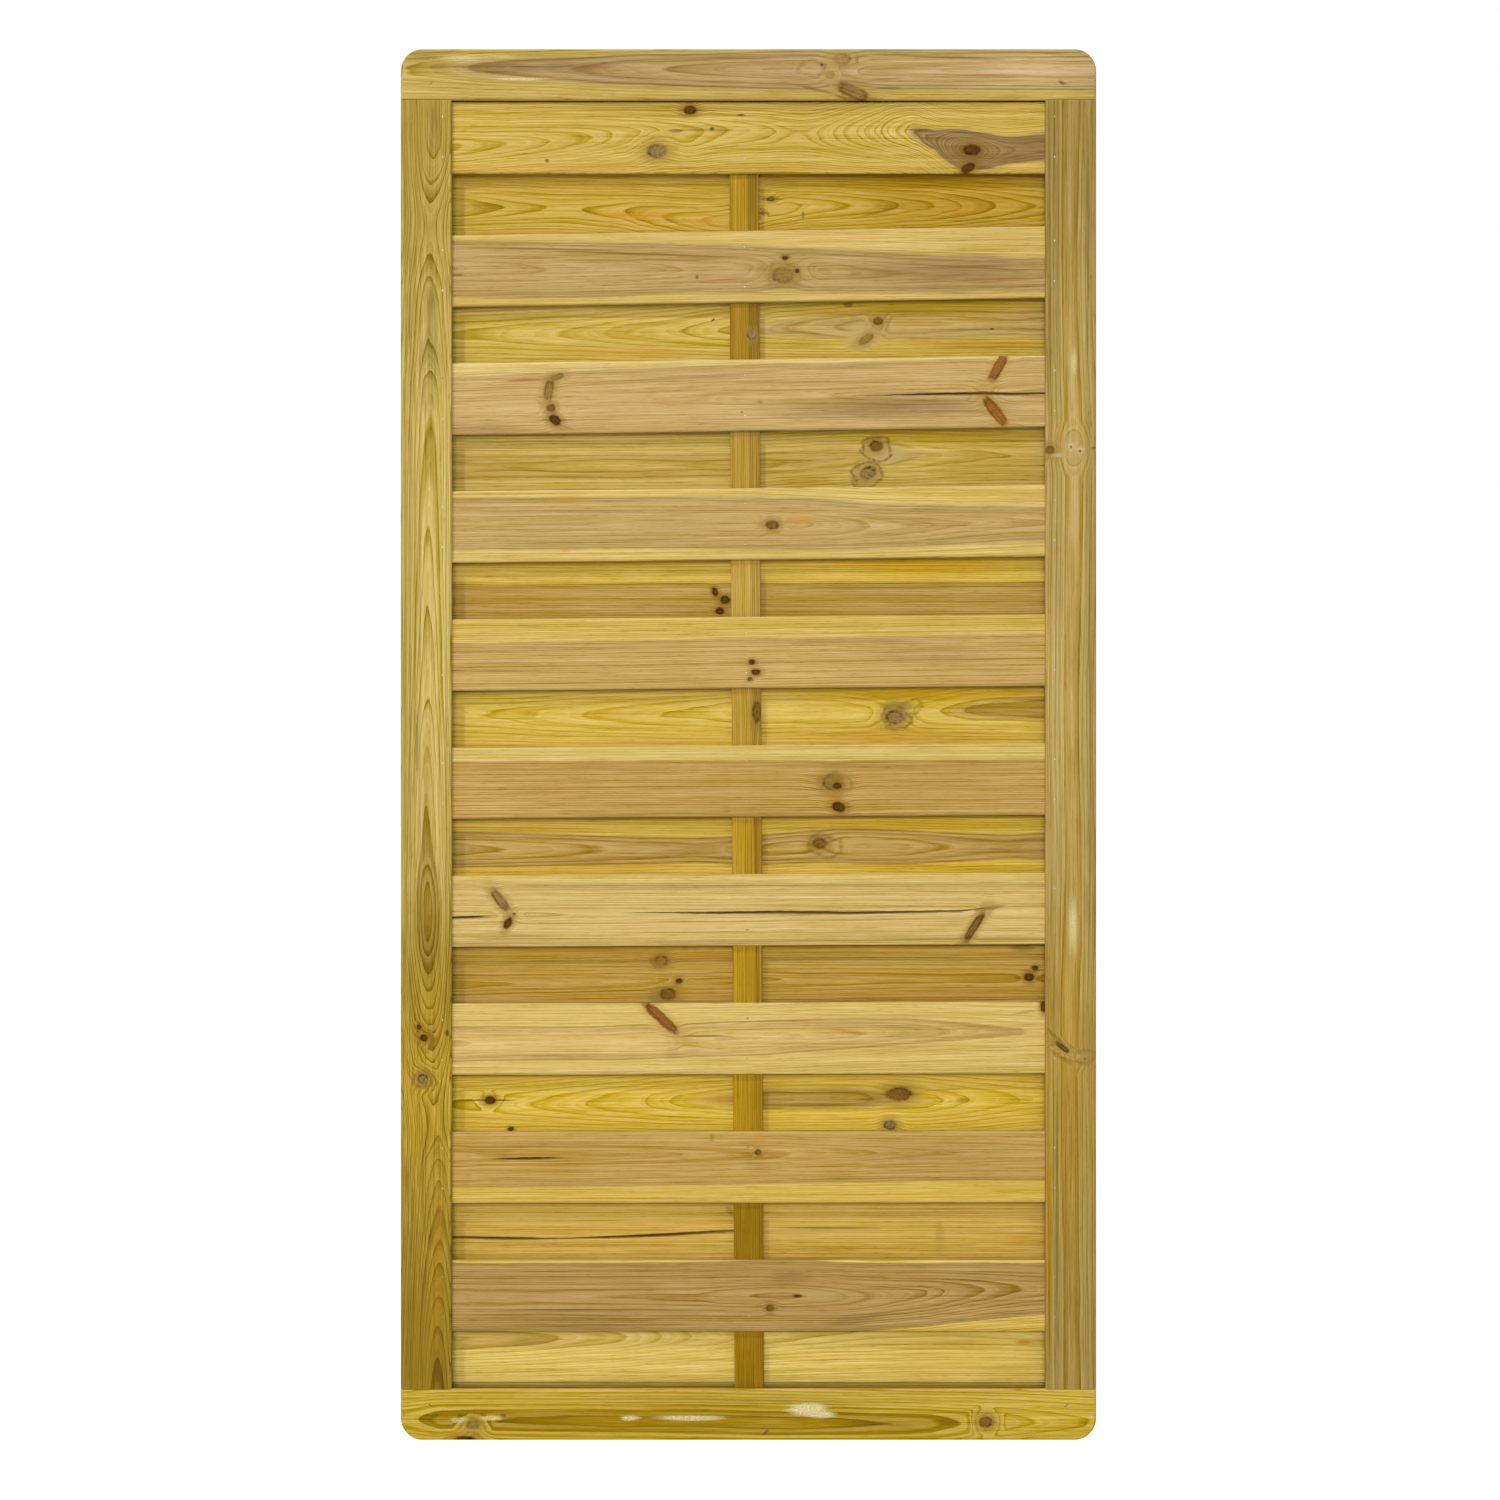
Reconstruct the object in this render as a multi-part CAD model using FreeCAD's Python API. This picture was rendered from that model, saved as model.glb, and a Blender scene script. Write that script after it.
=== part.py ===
import FreeCAD, Part
import math
import os

# Hit-and-miss fence panel: a grooved timber frame that holds two layers of horizontal boards.
# X runs along the rails, Y from the front face to the back, Z up. Lengths are in millimetres.
# The origin is on the ground, under the middle of the panel.

# Frame of two rails and two stiles
PANEL_WIDTH = 900.0
PANEL_HEIGHT = 1800.0
FRAME_FACE = 66.0  # width of a rail or stile as seen from the front
FRAME_DEPTH = 45.0  # front to back
CORNER_RADIUS = 28.0  # outer corners of the panel
FRAME_ARRIS = 3.5  # rounding of the long edges
GROOVE_DEPTH = 20.0

# Haunched tenons, which stand the stiles in the rails
TENON_LENGTH = 40.0
HAUNCH_WIDTH = 14.0  # outer part of the tenon, only as long as the groove is deep
TENON_END_GAP = 1.5

# Boards
BOARD_WIDTH = 93.0
BOARD_THICKNESS = 9.0
BOARD_ARRIS = 1.5  # small flats planed along the long edges
BOARD_LEAST_LAP = 9.0  # boards of the two layers overlap by at least this
BOARD_END_GAP = 1.5  # from a board's end to the floor of the groove
TOP_BOARD_GAP = 1.0  # from the top rail to the first front board
SILL_GAP = 2.0  # from the bottom rail to the last back board
LARGEST_FALL = 12.0  # the second front board's left end lies this much under its right end
FALL_GROWTH = 1.2  # over 1, the fall builds up faster towards the top

# Centre batten, between the two layers
BATTEN_WIDTH = 38.0
BATTEN_THICKNESS = 12.0
BATTEN_ARRIS = 1.0
BATTEN_OFFSET = -2.7  # from the panel's middle
BATTEN_LEAN = 7.3  # its top stands this much to the left of its foot
BATTEN_END_GAP = 1.5

# Headless brads, cut from flat wire
BRAD_WIDTH = 2.4
BRAD_WIRE = 1.4
FASTENER_SINK = 0.4  # brads and staples are driven this far under the wood
BRAD_PITCH = 52.0  # between the two brads in a board
STILE_BRAD_INSET = 12.0  # from the stile's inner edge
STILE_BRAD_BITE = 7.0  # depth in the board behind the lip
BATTEN_BRAD_BITE = 9.0  # depth in the batten behind the board

# Staples through the rails' front lips into the tenons
STAPLE_CROWN = 6.0
STAPLE_WIRE = 1.2
STAPLE_BITE = 17.5  # depth in the tenon behind the lip
STAPLE_FROM_SIDE = 39.0
STAPLE_FROM_JOINT = 21.0
STAPLE_TURN = 35.0  # degrees

# Sizes that follow
OPENING_WIDTH = PANEL_WIDTH - 2 * FRAME_FACE
OPENING_HEIGHT = PANEL_HEIGHT - 2 * FRAME_FACE
OPENING_TOP = PANEL_HEIGHT - FRAME_FACE
GROOVE_WIDTH = 2 * BOARD_THICKNESS + BATTEN_THICKNESS
LIP_THICKNESS = (FRAME_DEPTH - GROOVE_WIDTH) / 2  # on each side of the groove
WEB_WIDTH = FRAME_FACE - GROOVE_DEPTH  # solid timber behind the groove
HAUNCH_LENGTH = GROOVE_DEPTH - TENON_END_GAP
BOARD_LENGTH = OPENING_WIDTH + 2 * (GROOVE_DEPTH - BOARD_END_GAP)
BOARD_FACE_Y = GROOVE_WIDTH / 2  # outer face of a layer, from the panel's mid plane
FRAME_FACE_Y = FRAME_DEPTH / 2
BOARDS_PER_FACE = math.ceil(OPENING_HEIGHT / (2 * (BOARD_WIDTH - BOARD_LEAST_LAP)))
BAY_HEIGHT = OPENING_HEIGHT / BOARDS_PER_FACE
BATTEN_LENGTH = OPENING_HEIGHT + 2 * (GROOVE_DEPTH - BATTEN_END_GAP)
STILE_BRAD_LENGTH = LIP_THICKNESS + STILE_BRAD_BITE
BATTEN_BRAD_LENGTH = BOARD_THICKNESS + BATTEN_BRAD_BITE
STAPLE_LENGTH = LIP_THICKNESS + STAPLE_BITE
CUT_OVERRUN = 1.0  # a cut starts this far outside the wood

FRONT = -1
BACK = 1
LEFT = -1
RIGHT = 1

X_AXIS = FreeCAD.Vector(1, 0, 0)
Y_AXIS = FreeCAD.Vector(0, 1, 0)
Z_AXIS = FreeCAD.Vector(0, 0, 1)
ORIGIN = FreeCAD.Vector(0, 0, 0)


def block(x_range, y_range, z_range):
    """A rectangular block between the given lowest and highest values."""
    low = FreeCAD.Vector(x_range[0], y_range[0], z_range[0])
    size = FreeCAD.Vector(x_range[1], y_range[1], z_range[1]) - low
    return Part.makeBox(size.x, size.y, size.z, low)


def edges_along(shape, axis):
    """The straight edges of a shape that run along an axis."""
    return [
        edge
        for edge in shape.Edges
        if isinstance(edge.Curve, Part.Line) and abs(edge.Curve.Direction.dot(axis)) > 0.999
    ]


def edges_in_plane(shape, y):
    """The edges of a shape that lie in the upright plane at y."""
    return [
        edge
        for edge in shape.Edges
        if all(abs(vertex.Y - y) < 1e-6 for vertex in edge.Vertexes)
    ]


def rail_outline():
    """The bottom rail as seen from the front, with its two lower corners rounded."""
    side = PANEL_WIDTH / 2
    reach = CORNER_RADIUS * (1 - math.sqrt(0.5))

    def point(x, z):
        return FreeCAD.Vector(x, -FRAME_FACE_Y, z)

    bend = side - CORNER_RADIUS
    edges = [
        Part.LineSegment(point(-side, FRAME_FACE), point(-side, CORNER_RADIUS)),
        Part.Arc(point(-side, CORNER_RADIUS), point(-side + reach, reach), point(-bend, 0)),
        Part.LineSegment(point(-bend, 0), point(bend, 0)),
        Part.Arc(point(bend, 0), point(side - reach, reach), point(side, CORNER_RADIUS)),
        Part.LineSegment(point(side, CORNER_RADIUS), point(side, FRAME_FACE)),
        Part.LineSegment(point(side, FRAME_FACE), point(-side, FRAME_FACE)),
    ]
    return Part.Wire([edge.toShape() for edge in edges])


def bottom_rail():
    """A rail with rounded edges, a groove in its upper edge and a mortise for each stile."""
    side = PANEL_WIDTH / 2
    groove_y = (-GROOVE_WIDTH / 2, GROOVE_WIDTH / 2)
    blank = Part.Face(rail_outline()).extrude(Y_AXIS * FRAME_DEPTH)
    arrises = edges_in_plane(blank, -FRAME_FACE_Y) + edges_in_plane(blank, FRAME_FACE_Y)
    blank = blank.makeFillet(FRAME_ARRIS, arrises)
    groove = block(
        (-side - CUT_OVERRUN, side + CUT_OVERRUN),
        groove_y,
        (FRAME_FACE - GROOVE_DEPTH, FRAME_FACE + CUT_OVERRUN),
    )
    mortise_z = (FRAME_FACE - TENON_LENGTH - TENON_END_GAP, FRAME_FACE)
    left_mortise = block((-side + HAUNCH_WIDTH, -side + WEB_WIDTH), groove_y, mortise_z)
    right_mortise = block((side - WEB_WIDTH, side - HAUNCH_WIDTH), groove_y, mortise_z)
    return blank.cut([groove, left_mortise, right_mortise])


def turned_over(shape):
    """A shape of the lower half of the panel, turned to the same place in the upper half."""
    copy = shape.copy()
    copy.rotate(FreeCAD.Vector(0, 0, PANEL_HEIGHT / 2), Y_AXIS, 180)
    return copy


def left_stile():
    """A stile with rounded edges, a groove in its inner edge and a haunched tenon at each end."""
    outer = -PANEL_WIDTH / 2
    inner = outer + FRAME_FACE
    groove_y = (-GROOVE_WIDTH / 2, GROOVE_WIDTH / 2)
    post = block((outer, inner), (-FRAME_FACE_Y, FRAME_FACE_Y), (FRAME_FACE, OPENING_TOP))
    post = post.makeFillet(FRAME_ARRIS, edges_along(post, Z_AXIS))
    groove = block(
        (inner - GROOVE_DEPTH, inner + CUT_OVERRUN),
        groove_y,
        (FRAME_FACE - CUT_OVERRUN, OPENING_TOP + CUT_OVERRUN),
    )
    post = post.cut(groove)
    haunch_x = (outer, outer + WEB_WIDTH)
    tenon_x = (outer + HAUNCH_WIDTH, outer + WEB_WIDTH)
    foot_haunch = block(haunch_x, groove_y, (FRAME_FACE - HAUNCH_LENGTH, FRAME_FACE))
    foot_tenon = block(tenon_x, groove_y, (FRAME_FACE - TENON_LENGTH, FRAME_FACE))
    head_haunch = block(haunch_x, groove_y, (OPENING_TOP, OPENING_TOP + HAUNCH_LENGTH))
    head_tenon = block(tenon_x, groove_y, (OPENING_TOP, OPENING_TOP + TENON_LENGTH))
    return post.fuse([foot_haunch, foot_tenon, head_haunch, head_tenon]).removeSplitter()


def right_stile():
    """The left stile, turned to the other side."""
    stile = left_stile()
    stile.rotate(ORIGIN, Z_AXIS, 180)
    return stile


def front_board_height(index):
    """Height of the middle of a front board, counted from the top."""
    return OPENING_TOP - TOP_BOARD_GAP - BOARD_WIDTH / 2 - index * BAY_HEIGHT


def back_board_height(index):
    """Height of the middle of a back board: mid gap under its front board, or on the sill."""
    if index == BOARDS_PER_FACE - 1:
        return FRAME_FACE + SILL_GAP + BOARD_WIDTH / 2
    return front_board_height(index) - BAY_HEIGHT / 2


def front_board_fall(index):
    """How far a front board's left end lies under its right end. The first board lies along the rail."""
    if index == 0:
        return 0.0
    boards_below = BOARDS_PER_FACE - 1 - index
    return LARGEST_FALL * (boards_below / (BOARDS_PER_FACE - 2)) ** FALL_GROWTH


def board(side, height, fall):
    """A board of the front or back layer, with its long edges planed off."""
    y_range = sorted((side * BATTEN_THICKNESS / 2, side * BOARD_FACE_Y))
    plank = block((-BOARD_LENGTH / 2, BOARD_LENGTH / 2), y_range, (-BOARD_WIDTH / 2, BOARD_WIDTH / 2))
    plank = plank.makeChamfer(BOARD_ARRIS, edges_along(plank, X_AXIS))
    plank.rotate(ORIGIN, Y_AXIS, -math.degrees(math.atan(fall / OPENING_WIDTH)))
    plank.translate(FreeCAD.Vector(0, 0, height))
    return plank


def batten_x(height):
    """Middle of the batten at a height."""
    return BATTEN_OFFSET - BATTEN_LEAN * (height - PANEL_HEIGHT / 2) / OPENING_HEIGHT


def centre_batten():
    """The upright strip between the two layers, a little out of plumb."""
    strip = block(
        (-BATTEN_WIDTH / 2, BATTEN_WIDTH / 2),
        (-BATTEN_THICKNESS / 2, BATTEN_THICKNESS / 2),
        (-BATTEN_LENGTH / 2, BATTEN_LENGTH / 2),
    )
    strip = strip.makeChamfer(BATTEN_ARRIS, edges_along(strip, Z_AXIS))
    strip.rotate(ORIGIN, Y_AXIS, -math.degrees(math.atan(BATTEN_LEAN / OPENING_HEIGHT)))
    strip.translate(FreeCAD.Vector(BATTEN_OFFSET, 0, PANEL_HEIGHT / 2))
    return strip


def brad_profile(length, top):
    """Corners of a brad across its wire: places along its width, and depths in the wood."""
    half = BRAD_WIDTH / 2
    return [(-half, top), (half, top), (half, length), (-half, length)]


def staple_profile(top):
    """Corners of a staple across its wire: places along its crown, and depths in the wood."""
    outside = STAPLE_CROWN / 2
    inside = outside - STAPLE_WIRE
    crown = FASTENER_SINK + STAPLE_WIRE
    return [
        (-outside, top),
        (outside, top),
        (outside, STAPLE_LENGTH),
        (inside, STAPLE_LENGTH),
        (inside, crown),
        (-inside, crown),
        (-inside, STAPLE_LENGTH),
        (-outside, STAPLE_LENGTH),
    ]


def driven_wire(profile, wire, surface, side, along):
    """A flat wire fastener driven into the panel at a point of its surface, from the front or the back."""
    depth = Y_AXIS * -side
    across = along.cross(depth)
    corners = [surface + along * place + depth * deep - across * (wire / 2) for place, deep in profile]
    return Part.Face(Part.makePolygon(corners + corners[:1])).extrude(across * wire)


class Fastener:
    """A fastener and the hole that it makes, which is open to the surface."""

    def __init__(self, piece, hole):
        self.piece = piece
        self.hole = hole


def brad(length, surface, side, along):
    return Fastener(
        driven_wire(brad_profile(length, FASTENER_SINK), BRAD_WIRE, surface, side, along),
        driven_wire(brad_profile(length, -CUT_OVERRUN), BRAD_WIRE, surface, side, along),
    )


def staple(surface, along):
    return Fastener(
        driven_wire(staple_profile(FASTENER_SINK), STAPLE_WIRE, surface, FRONT, along),
        driven_wire(staple_profile(-CUT_OVERRUN), STAPLE_WIRE, surface, FRONT, along),
    )


def stile_brads(side, end, height, fall):
    """The two brads through a stile's lip into one end of a board."""
    x = end * (OPENING_WIDTH / 2 + STILE_BRAD_INSET)
    middle = height + x * fall / OPENING_WIDTH
    heights = (middle - BRAD_PITCH / 2, middle + BRAD_PITCH / 2)
    return [
        brad(STILE_BRAD_LENGTH, FreeCAD.Vector(x, side * FRAME_FACE_Y, z), side, Z_AXIS)
        for z in heights
    ]


def batten_brads(side, height, fall):
    """The two brads through a board into the batten."""
    x = batten_x(height)
    middle = height + x * fall / OPENING_WIDTH
    heights = (middle - BRAD_PITCH / 2, middle + BRAD_PITCH / 2)
    return [
        brad(BATTEN_BRAD_LENGTH, FreeCAD.Vector(batten_x(z), side * BOARD_FACE_Y, z), side, X_AXIS)
        for z in heights
    ]


def corner_staple(end, upper):
    """The staple through a rail's front lip into the tenon of a stile."""
    x = end * (PANEL_WIDTH / 2 - STAPLE_FROM_SIDE)
    z = OPENING_TOP + STAPLE_FROM_JOINT if upper else FRAME_FACE - STAPLE_FROM_JOINT
    turn = math.radians(STAPLE_TURN) * (-end if upper else end)
    along = FreeCAD.Vector(math.cos(turn), 0, math.sin(turn))
    return staple(FreeCAD.Vector(x, -FRAME_FACE_Y, z), along)


def holes(fasteners):
    return [fastener.hole for fastener in fasteners]


def export(name, shape):
    shape.exportStep(f"parts/{name}.step")


def export_group(name, fasteners):
    export(name, Part.makeCompound([fastener.piece for fastener in fasteners]))


def build_layer(side, name, board_height, board_fall):
    """Writes one layer of boards with its brads. Returns the brads at each stile and in the batten."""
    left, right, middle = [], [], []
    for index in range(BOARDS_PER_FACE):
        height = board_height(index)
        fall = board_fall(index)
        left_pair = stile_brads(side, LEFT, height, fall)
        right_pair = stile_brads(side, RIGHT, height, fall)
        middle_pair = batten_brads(side, height, fall)
        plank = board(side, height, fall).cut(holes(left_pair + right_pair + middle_pair))
        export(f"{name}_board_{index + 1:02d}", plank)
        left += left_pair
        right += right_pair
        middle += middle_pair
    export_group(f"{name}_left_stile_brads", left)
    export_group(f"{name}_right_stile_brads", right)
    export_group(f"{name}_batten_brads", middle)
    return left, right, middle


def build():
    os.makedirs("parts", exist_ok=True)
    front_left, front_right, front_middle = build_layer(FRONT, "front", front_board_height, front_board_fall)
    back_left, back_right, back_middle = build_layer(BACK, "back", back_board_height, lambda index: 0.0)

    lower = [corner_staple(end, upper=False) for end in (LEFT, RIGHT)]
    upper = [corner_staple(end, upper=True) for end in (LEFT, RIGHT)]
    left_staples = [lower[0], upper[0]]
    right_staples = [lower[1], upper[1]]
    export_group("corner_staples", lower + upper)

    export("centre_batten", centre_batten().cut(holes(front_middle + back_middle)))
    export("left_stile", left_stile().cut(holes(front_left + back_left + left_staples)))
    export("right_stile", right_stile().cut(holes(front_right + back_right + right_staples)))
    export("bottom_rail", bottom_rail().cut(holes(lower)))
    export("top_rail", turned_over(bottom_rail()).cut(holes(upper)))


build()
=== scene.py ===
"""Looks of the hit-and-miss closeboard fence panel: treated pine, split planks, nails, light and camera."""

import math
from dataclasses import dataclass, field

import bmesh
import bpy
from mathutils import Matrix, Vector, noise


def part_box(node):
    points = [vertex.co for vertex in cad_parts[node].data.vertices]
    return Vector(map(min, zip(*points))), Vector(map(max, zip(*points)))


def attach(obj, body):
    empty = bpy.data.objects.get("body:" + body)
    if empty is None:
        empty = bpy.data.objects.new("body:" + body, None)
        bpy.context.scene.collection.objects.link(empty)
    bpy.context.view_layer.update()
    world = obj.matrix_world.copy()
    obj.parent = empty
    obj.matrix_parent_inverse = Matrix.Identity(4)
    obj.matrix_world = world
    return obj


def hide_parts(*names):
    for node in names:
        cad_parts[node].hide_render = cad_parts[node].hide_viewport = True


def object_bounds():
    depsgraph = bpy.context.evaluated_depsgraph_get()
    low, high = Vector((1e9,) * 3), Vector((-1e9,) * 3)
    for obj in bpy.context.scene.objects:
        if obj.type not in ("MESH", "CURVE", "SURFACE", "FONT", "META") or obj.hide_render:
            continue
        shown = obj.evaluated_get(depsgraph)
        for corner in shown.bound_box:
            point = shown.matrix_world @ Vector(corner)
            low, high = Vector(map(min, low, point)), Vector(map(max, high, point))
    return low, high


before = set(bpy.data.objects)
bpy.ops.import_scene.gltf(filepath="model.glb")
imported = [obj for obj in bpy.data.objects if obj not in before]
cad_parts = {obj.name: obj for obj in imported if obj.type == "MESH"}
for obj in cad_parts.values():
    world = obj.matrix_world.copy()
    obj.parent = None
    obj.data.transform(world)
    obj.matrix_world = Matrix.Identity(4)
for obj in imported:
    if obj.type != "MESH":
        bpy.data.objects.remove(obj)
CAD_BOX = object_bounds()
MM = 0.001

# The photograph, in its own pixels
PHOTO_SIDE = 1500
PANEL_LEFT_PX = 401
PANEL_RIGHT_PX = 1096
PANEL_TOP_PX = 48
PANEL_BOTTOM_PX = 1441

# Camera and light
CAMERA_DISTANCE = 4.0
SENSOR = 36.0
LAMP_COLOUR = (0.98, 1.0, 1.13)
KEY_PLACE = (-2.0, -2.9, 3.9)
KEY_SIZE = 0.45
KEY_POWER = 62.0
FILL_LEFT = math.radians(2)
FILL_UP = math.radians(7)
FILL_SPREAD = math.radians(20)
FILL_STRENGTH = 1.32
AMBIENT = 0.40
BACKDROP = 1.0
FLOOR_SIZE = 60.0
FLOOR_COLOUR = (0.85, 0.85, 0.85, 1.0)
FLOOR_GLOW_SHARE = 0.7
FLOOR_GLOW = 1.345

# Planks, in metres
PLANK_ARRIS = 2.6 * MM
ARRIS_SEGMENTS = 3
SHARP_ANGLE = math.radians(38)
COLUMN_PITCH = 12 * MM
ROW_PITCH = 12 * MM
CUP = 0.4 * MM
WAVE = 0.4 * MM
WAVE_LENGTH = 170 * MM
WAVE_SEED_STEP = 3.3
EDGE_WAVE = 0.35 * MM
EDGE_WAVE_LENGTH = 45 * MM
EDGE_ZONE = 4 * MM
HELD_FAST = 25 * MM
HELD_AT_ENDS = 60 * MM
HELD_AT_BATTEN = 70 * MM
END_SHARE = 0.01
CUT_TOLERANCE = 1e-7
SAME_PLACE = 1e-5

# Splits in the planks, in metres
SPLIT_COLUMN_PITCH = 4 * MM
SPLIT_LIP = 2.5 * MM
SPLIT_LEAST = 0.15 * MM
SPLIT_RAGGED = 0.5 * MM
SPLIT_RAGGED_LENGTH = 9 * MM
SPLIT_SIDE_STEP = 3.7
SPLIT_FULL_RAGGED = 1 * MM
SPLIT_DEEPEST = 7.0 * MM
SPLIT_STEEPNESS = 3.0

# Nail pockets in the planks, in metres
NAIL_CLEARANCE = 0.5 * MM
NAIL_POCKET = 0.55 * MM
NAIL_POCKET_WALL = 0.12 * MM
NAIL_SPACING = 5 * MM
FACING = 0.9

# The number before the first seed of the front boards, the back boards and the frame timbers
FRONT_SEED = 0
BACK_SEED = 20
FRAME_SEED = 40


@dataclass
class Pattern:
    """A noise drawn out along the grain: its lengths along and across, its own number and its detail."""

    along: float
    across: float
    number: int = 0
    detail: float = 2.0


# How far one seed lies from the next in a noise
SEED_STEP = (7.3, 3.1, 5.7)

# Patterns in the wood, in millimetres
LONG_WAVE = Pattern(300.0, 30.0)
SHORT_WAVE = Pattern(90.0, 9.0, 1)
STREAK = Pattern(420.0, 4.0, 2)
FIBRE = Pattern(60.0, 1.6, 3, 3.0)
BLOTCH = Pattern(150.0, 45.0, 4)
FLECK = Pattern(16.0, 0.8, 5, 1.0)
COMBED = Pattern(50.0, 2.4, 6)
SPECKLE = Pattern(2.6, 1.6, 7, 1.0)
HAIR = Pattern(260.0, 1.1, 8, 1.0)
RAGGED = Pattern(6.0, 3.6)
PATCHY = Pattern(6.0, 3.6, 9, 1.0)
MOTTLE = Pattern(3.6, 2.2, 10)
SWIRL = Pattern(18.0, 12.0, 11, 1.0)

# Streaks along a wide or a tall spike knot, in its half sizes
WIDE_SPIKE = Pattern(1.6, 0.3, detail=1.0)
TALL_SPIKE = Pattern(0.3, 1.6, detail=1.0)

# Patterns on the wire, in metres
SPANGLE = Pattern(1.2 * MM, 1.2 * MM, 1)
WIRE_STAIN = Pattern(30 * MM, 30 * MM, 2)

# How far a pattern moves the rings and the heart's edge in mm, or a knot's and mark's edge in half sizes
LONG_WAVE_HEIGHT = 2.6
SHORT_WAVE_HEIGHT = 0.8
HEART_COMB = 2.4
RAGGED_SWING = 0.5
SWIRL_SWING = 0.9
COMBED_SWING = 0.8

# The stretch of a pattern that counts, from and to, and what it becomes at each end
SPECKLE_RANGE = (0.38, 0.58, 0.55, 1.0)
PATCHY_RANGE = (0.38, 0.62, 0.35, 1.0)
MOTTLE_RANGE = (0.44, 0.68, 0.0, 0.55)
FLECK_RANGE = (0.60, 0.72, 0.0, -0.20)
HAIR_RANGE = (0.60, 0.70, 0.0, -0.22)
RING_STRENGTH_RANGE = (0.3, 0.7, 0.45, 1.15)
SPIKE_RANGE = (0.42, 0.62, 0.0, 0.75)
SWIRL_BREAK_RANGE = (0.4, 0.9, 0.4, 1.0)
RIM_LEAN_RANGE = (-0.8, 0.8, 0.15, 1.0)
ZINC_ROUGHNESS_RANGE = (0.2, 0.8, 0.35, 0.6)

# Rings and heart, in millimetres
PITH_SPAN = 400.0
RING_WANDER = 1.2
RING_WANDER_LENGTH = 14.0
RING_WANDER_STEP = 11.0
FINE_RINGS = 3.3
HEART_EDGE_REACH = 10.0
HEART_EDGE_SHADE = 0.80

# Late wood at each share of a ring, and the colour at each share of the change from heart to sap
LATE_WOOD = [(0.0, 0.0), (0.5, 0.1), (0.80, 0.6), (0.93, 1.0), (1.0, 0.0)]
HEART_TO_SAP = [
    (0.0, "heart"),
    (0.34, "heart"),
    (0.40, "edge"),
    (0.45, "heart"),
    (0.50, "edge"),
    (0.56, "between"),
    (0.62, "sap"),
    (1.0, "sap"),
]

# How far each pattern swings the wood's value, saturation and hue
MEAN_VALUE = 1.11
RING_VALUE = -0.42
FINE_VALUE = -0.12
STREAK_VALUE = 0.50
FIBRE_VALUE = 0.55
BLOTCH_VALUE = 0.20
DARK_SATURATION = 0.40
# A painted highlight along the top edge of each lying timber: how much it lightens and how far down it
# reaches in mm
TOP_EDGE_HIGHLIGHT = 0.16
TOP_EDGE_HIGHLIGHT_REACH = 4.0
NEUTRAL_HUE = 0.5
BLOTCH_HUE = 0.012
RING_HUE = -0.005

# The wood's surface
WOOD_ROUGHNESS = 0.62
FIBRE_ROUGHNESS = 0.25
LATE_ROUGHNESS = -0.06
WOOD_BUMP = 0.25
WOOD_BUMP_HEIGHT = 0.3 * MM
WOOD_SPECULAR = 0.05

# The wire's surface, with the stretch of its stain and the least stain on brads and staples
ZINC_DARK = (138, 128, 98)
ZINC_BRIGHT = (196, 186, 150)
ZINC_STAINED = (104, 86, 52)
ZINC_METALLIC = 0.7
ZINC_BUMP = 0.2
ZINC_BUMP_HEIGHT = 0.1 * MM
STAIN_STRETCH = (0.45, 0.7)
MOST_STAIN = 0.95
BRAD_STAIN = 0.0
STAPLE_STAIN = 0.85


@dataclass
class Knot:
    """A knot: middle, size and length of its end cracks in photo pixels, turn in degrees, bulge in mm.

    The bulge is how far the knot pushes the rings towards the pith, or away from it where it is negative.
    """

    at: tuple
    size: tuple
    kind: str = "brown"
    turn: float = 0.0
    bulge: float = 3.0
    tail: float = 0.0


@dataclass
class Mark:
    """A patch on the timber: middle and size in photo pixels, turn in degrees, strength from 0 to 1."""

    at: tuple
    size: tuple
    kind: str
    strength: float = 0.6
    turn: float = 0.0


@dataclass
class Split:
    """An open crack in a board: points in photo pixels with the gap there in mm."""

    points: list


@dataclass
class Timber:
    """The figure of one timber. Each pith point is a photo pixel and the pith's depth there in mm.

    The heart's radius and the ring's width are in mm. How dark the painted shadow is on a back board just
    under the front board goes from 0 to 1.
    """

    sap: tuple
    heart: tuple
    pith: list
    heart_radius: float = 36.0
    ring: float = 2.4
    contrast: float = 1.0
    seam: float = 0.0
    knots: list = field(default_factory=list)
    marks: list = field(default_factory=list)
    splits: list = field(default_factory=list)


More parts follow.
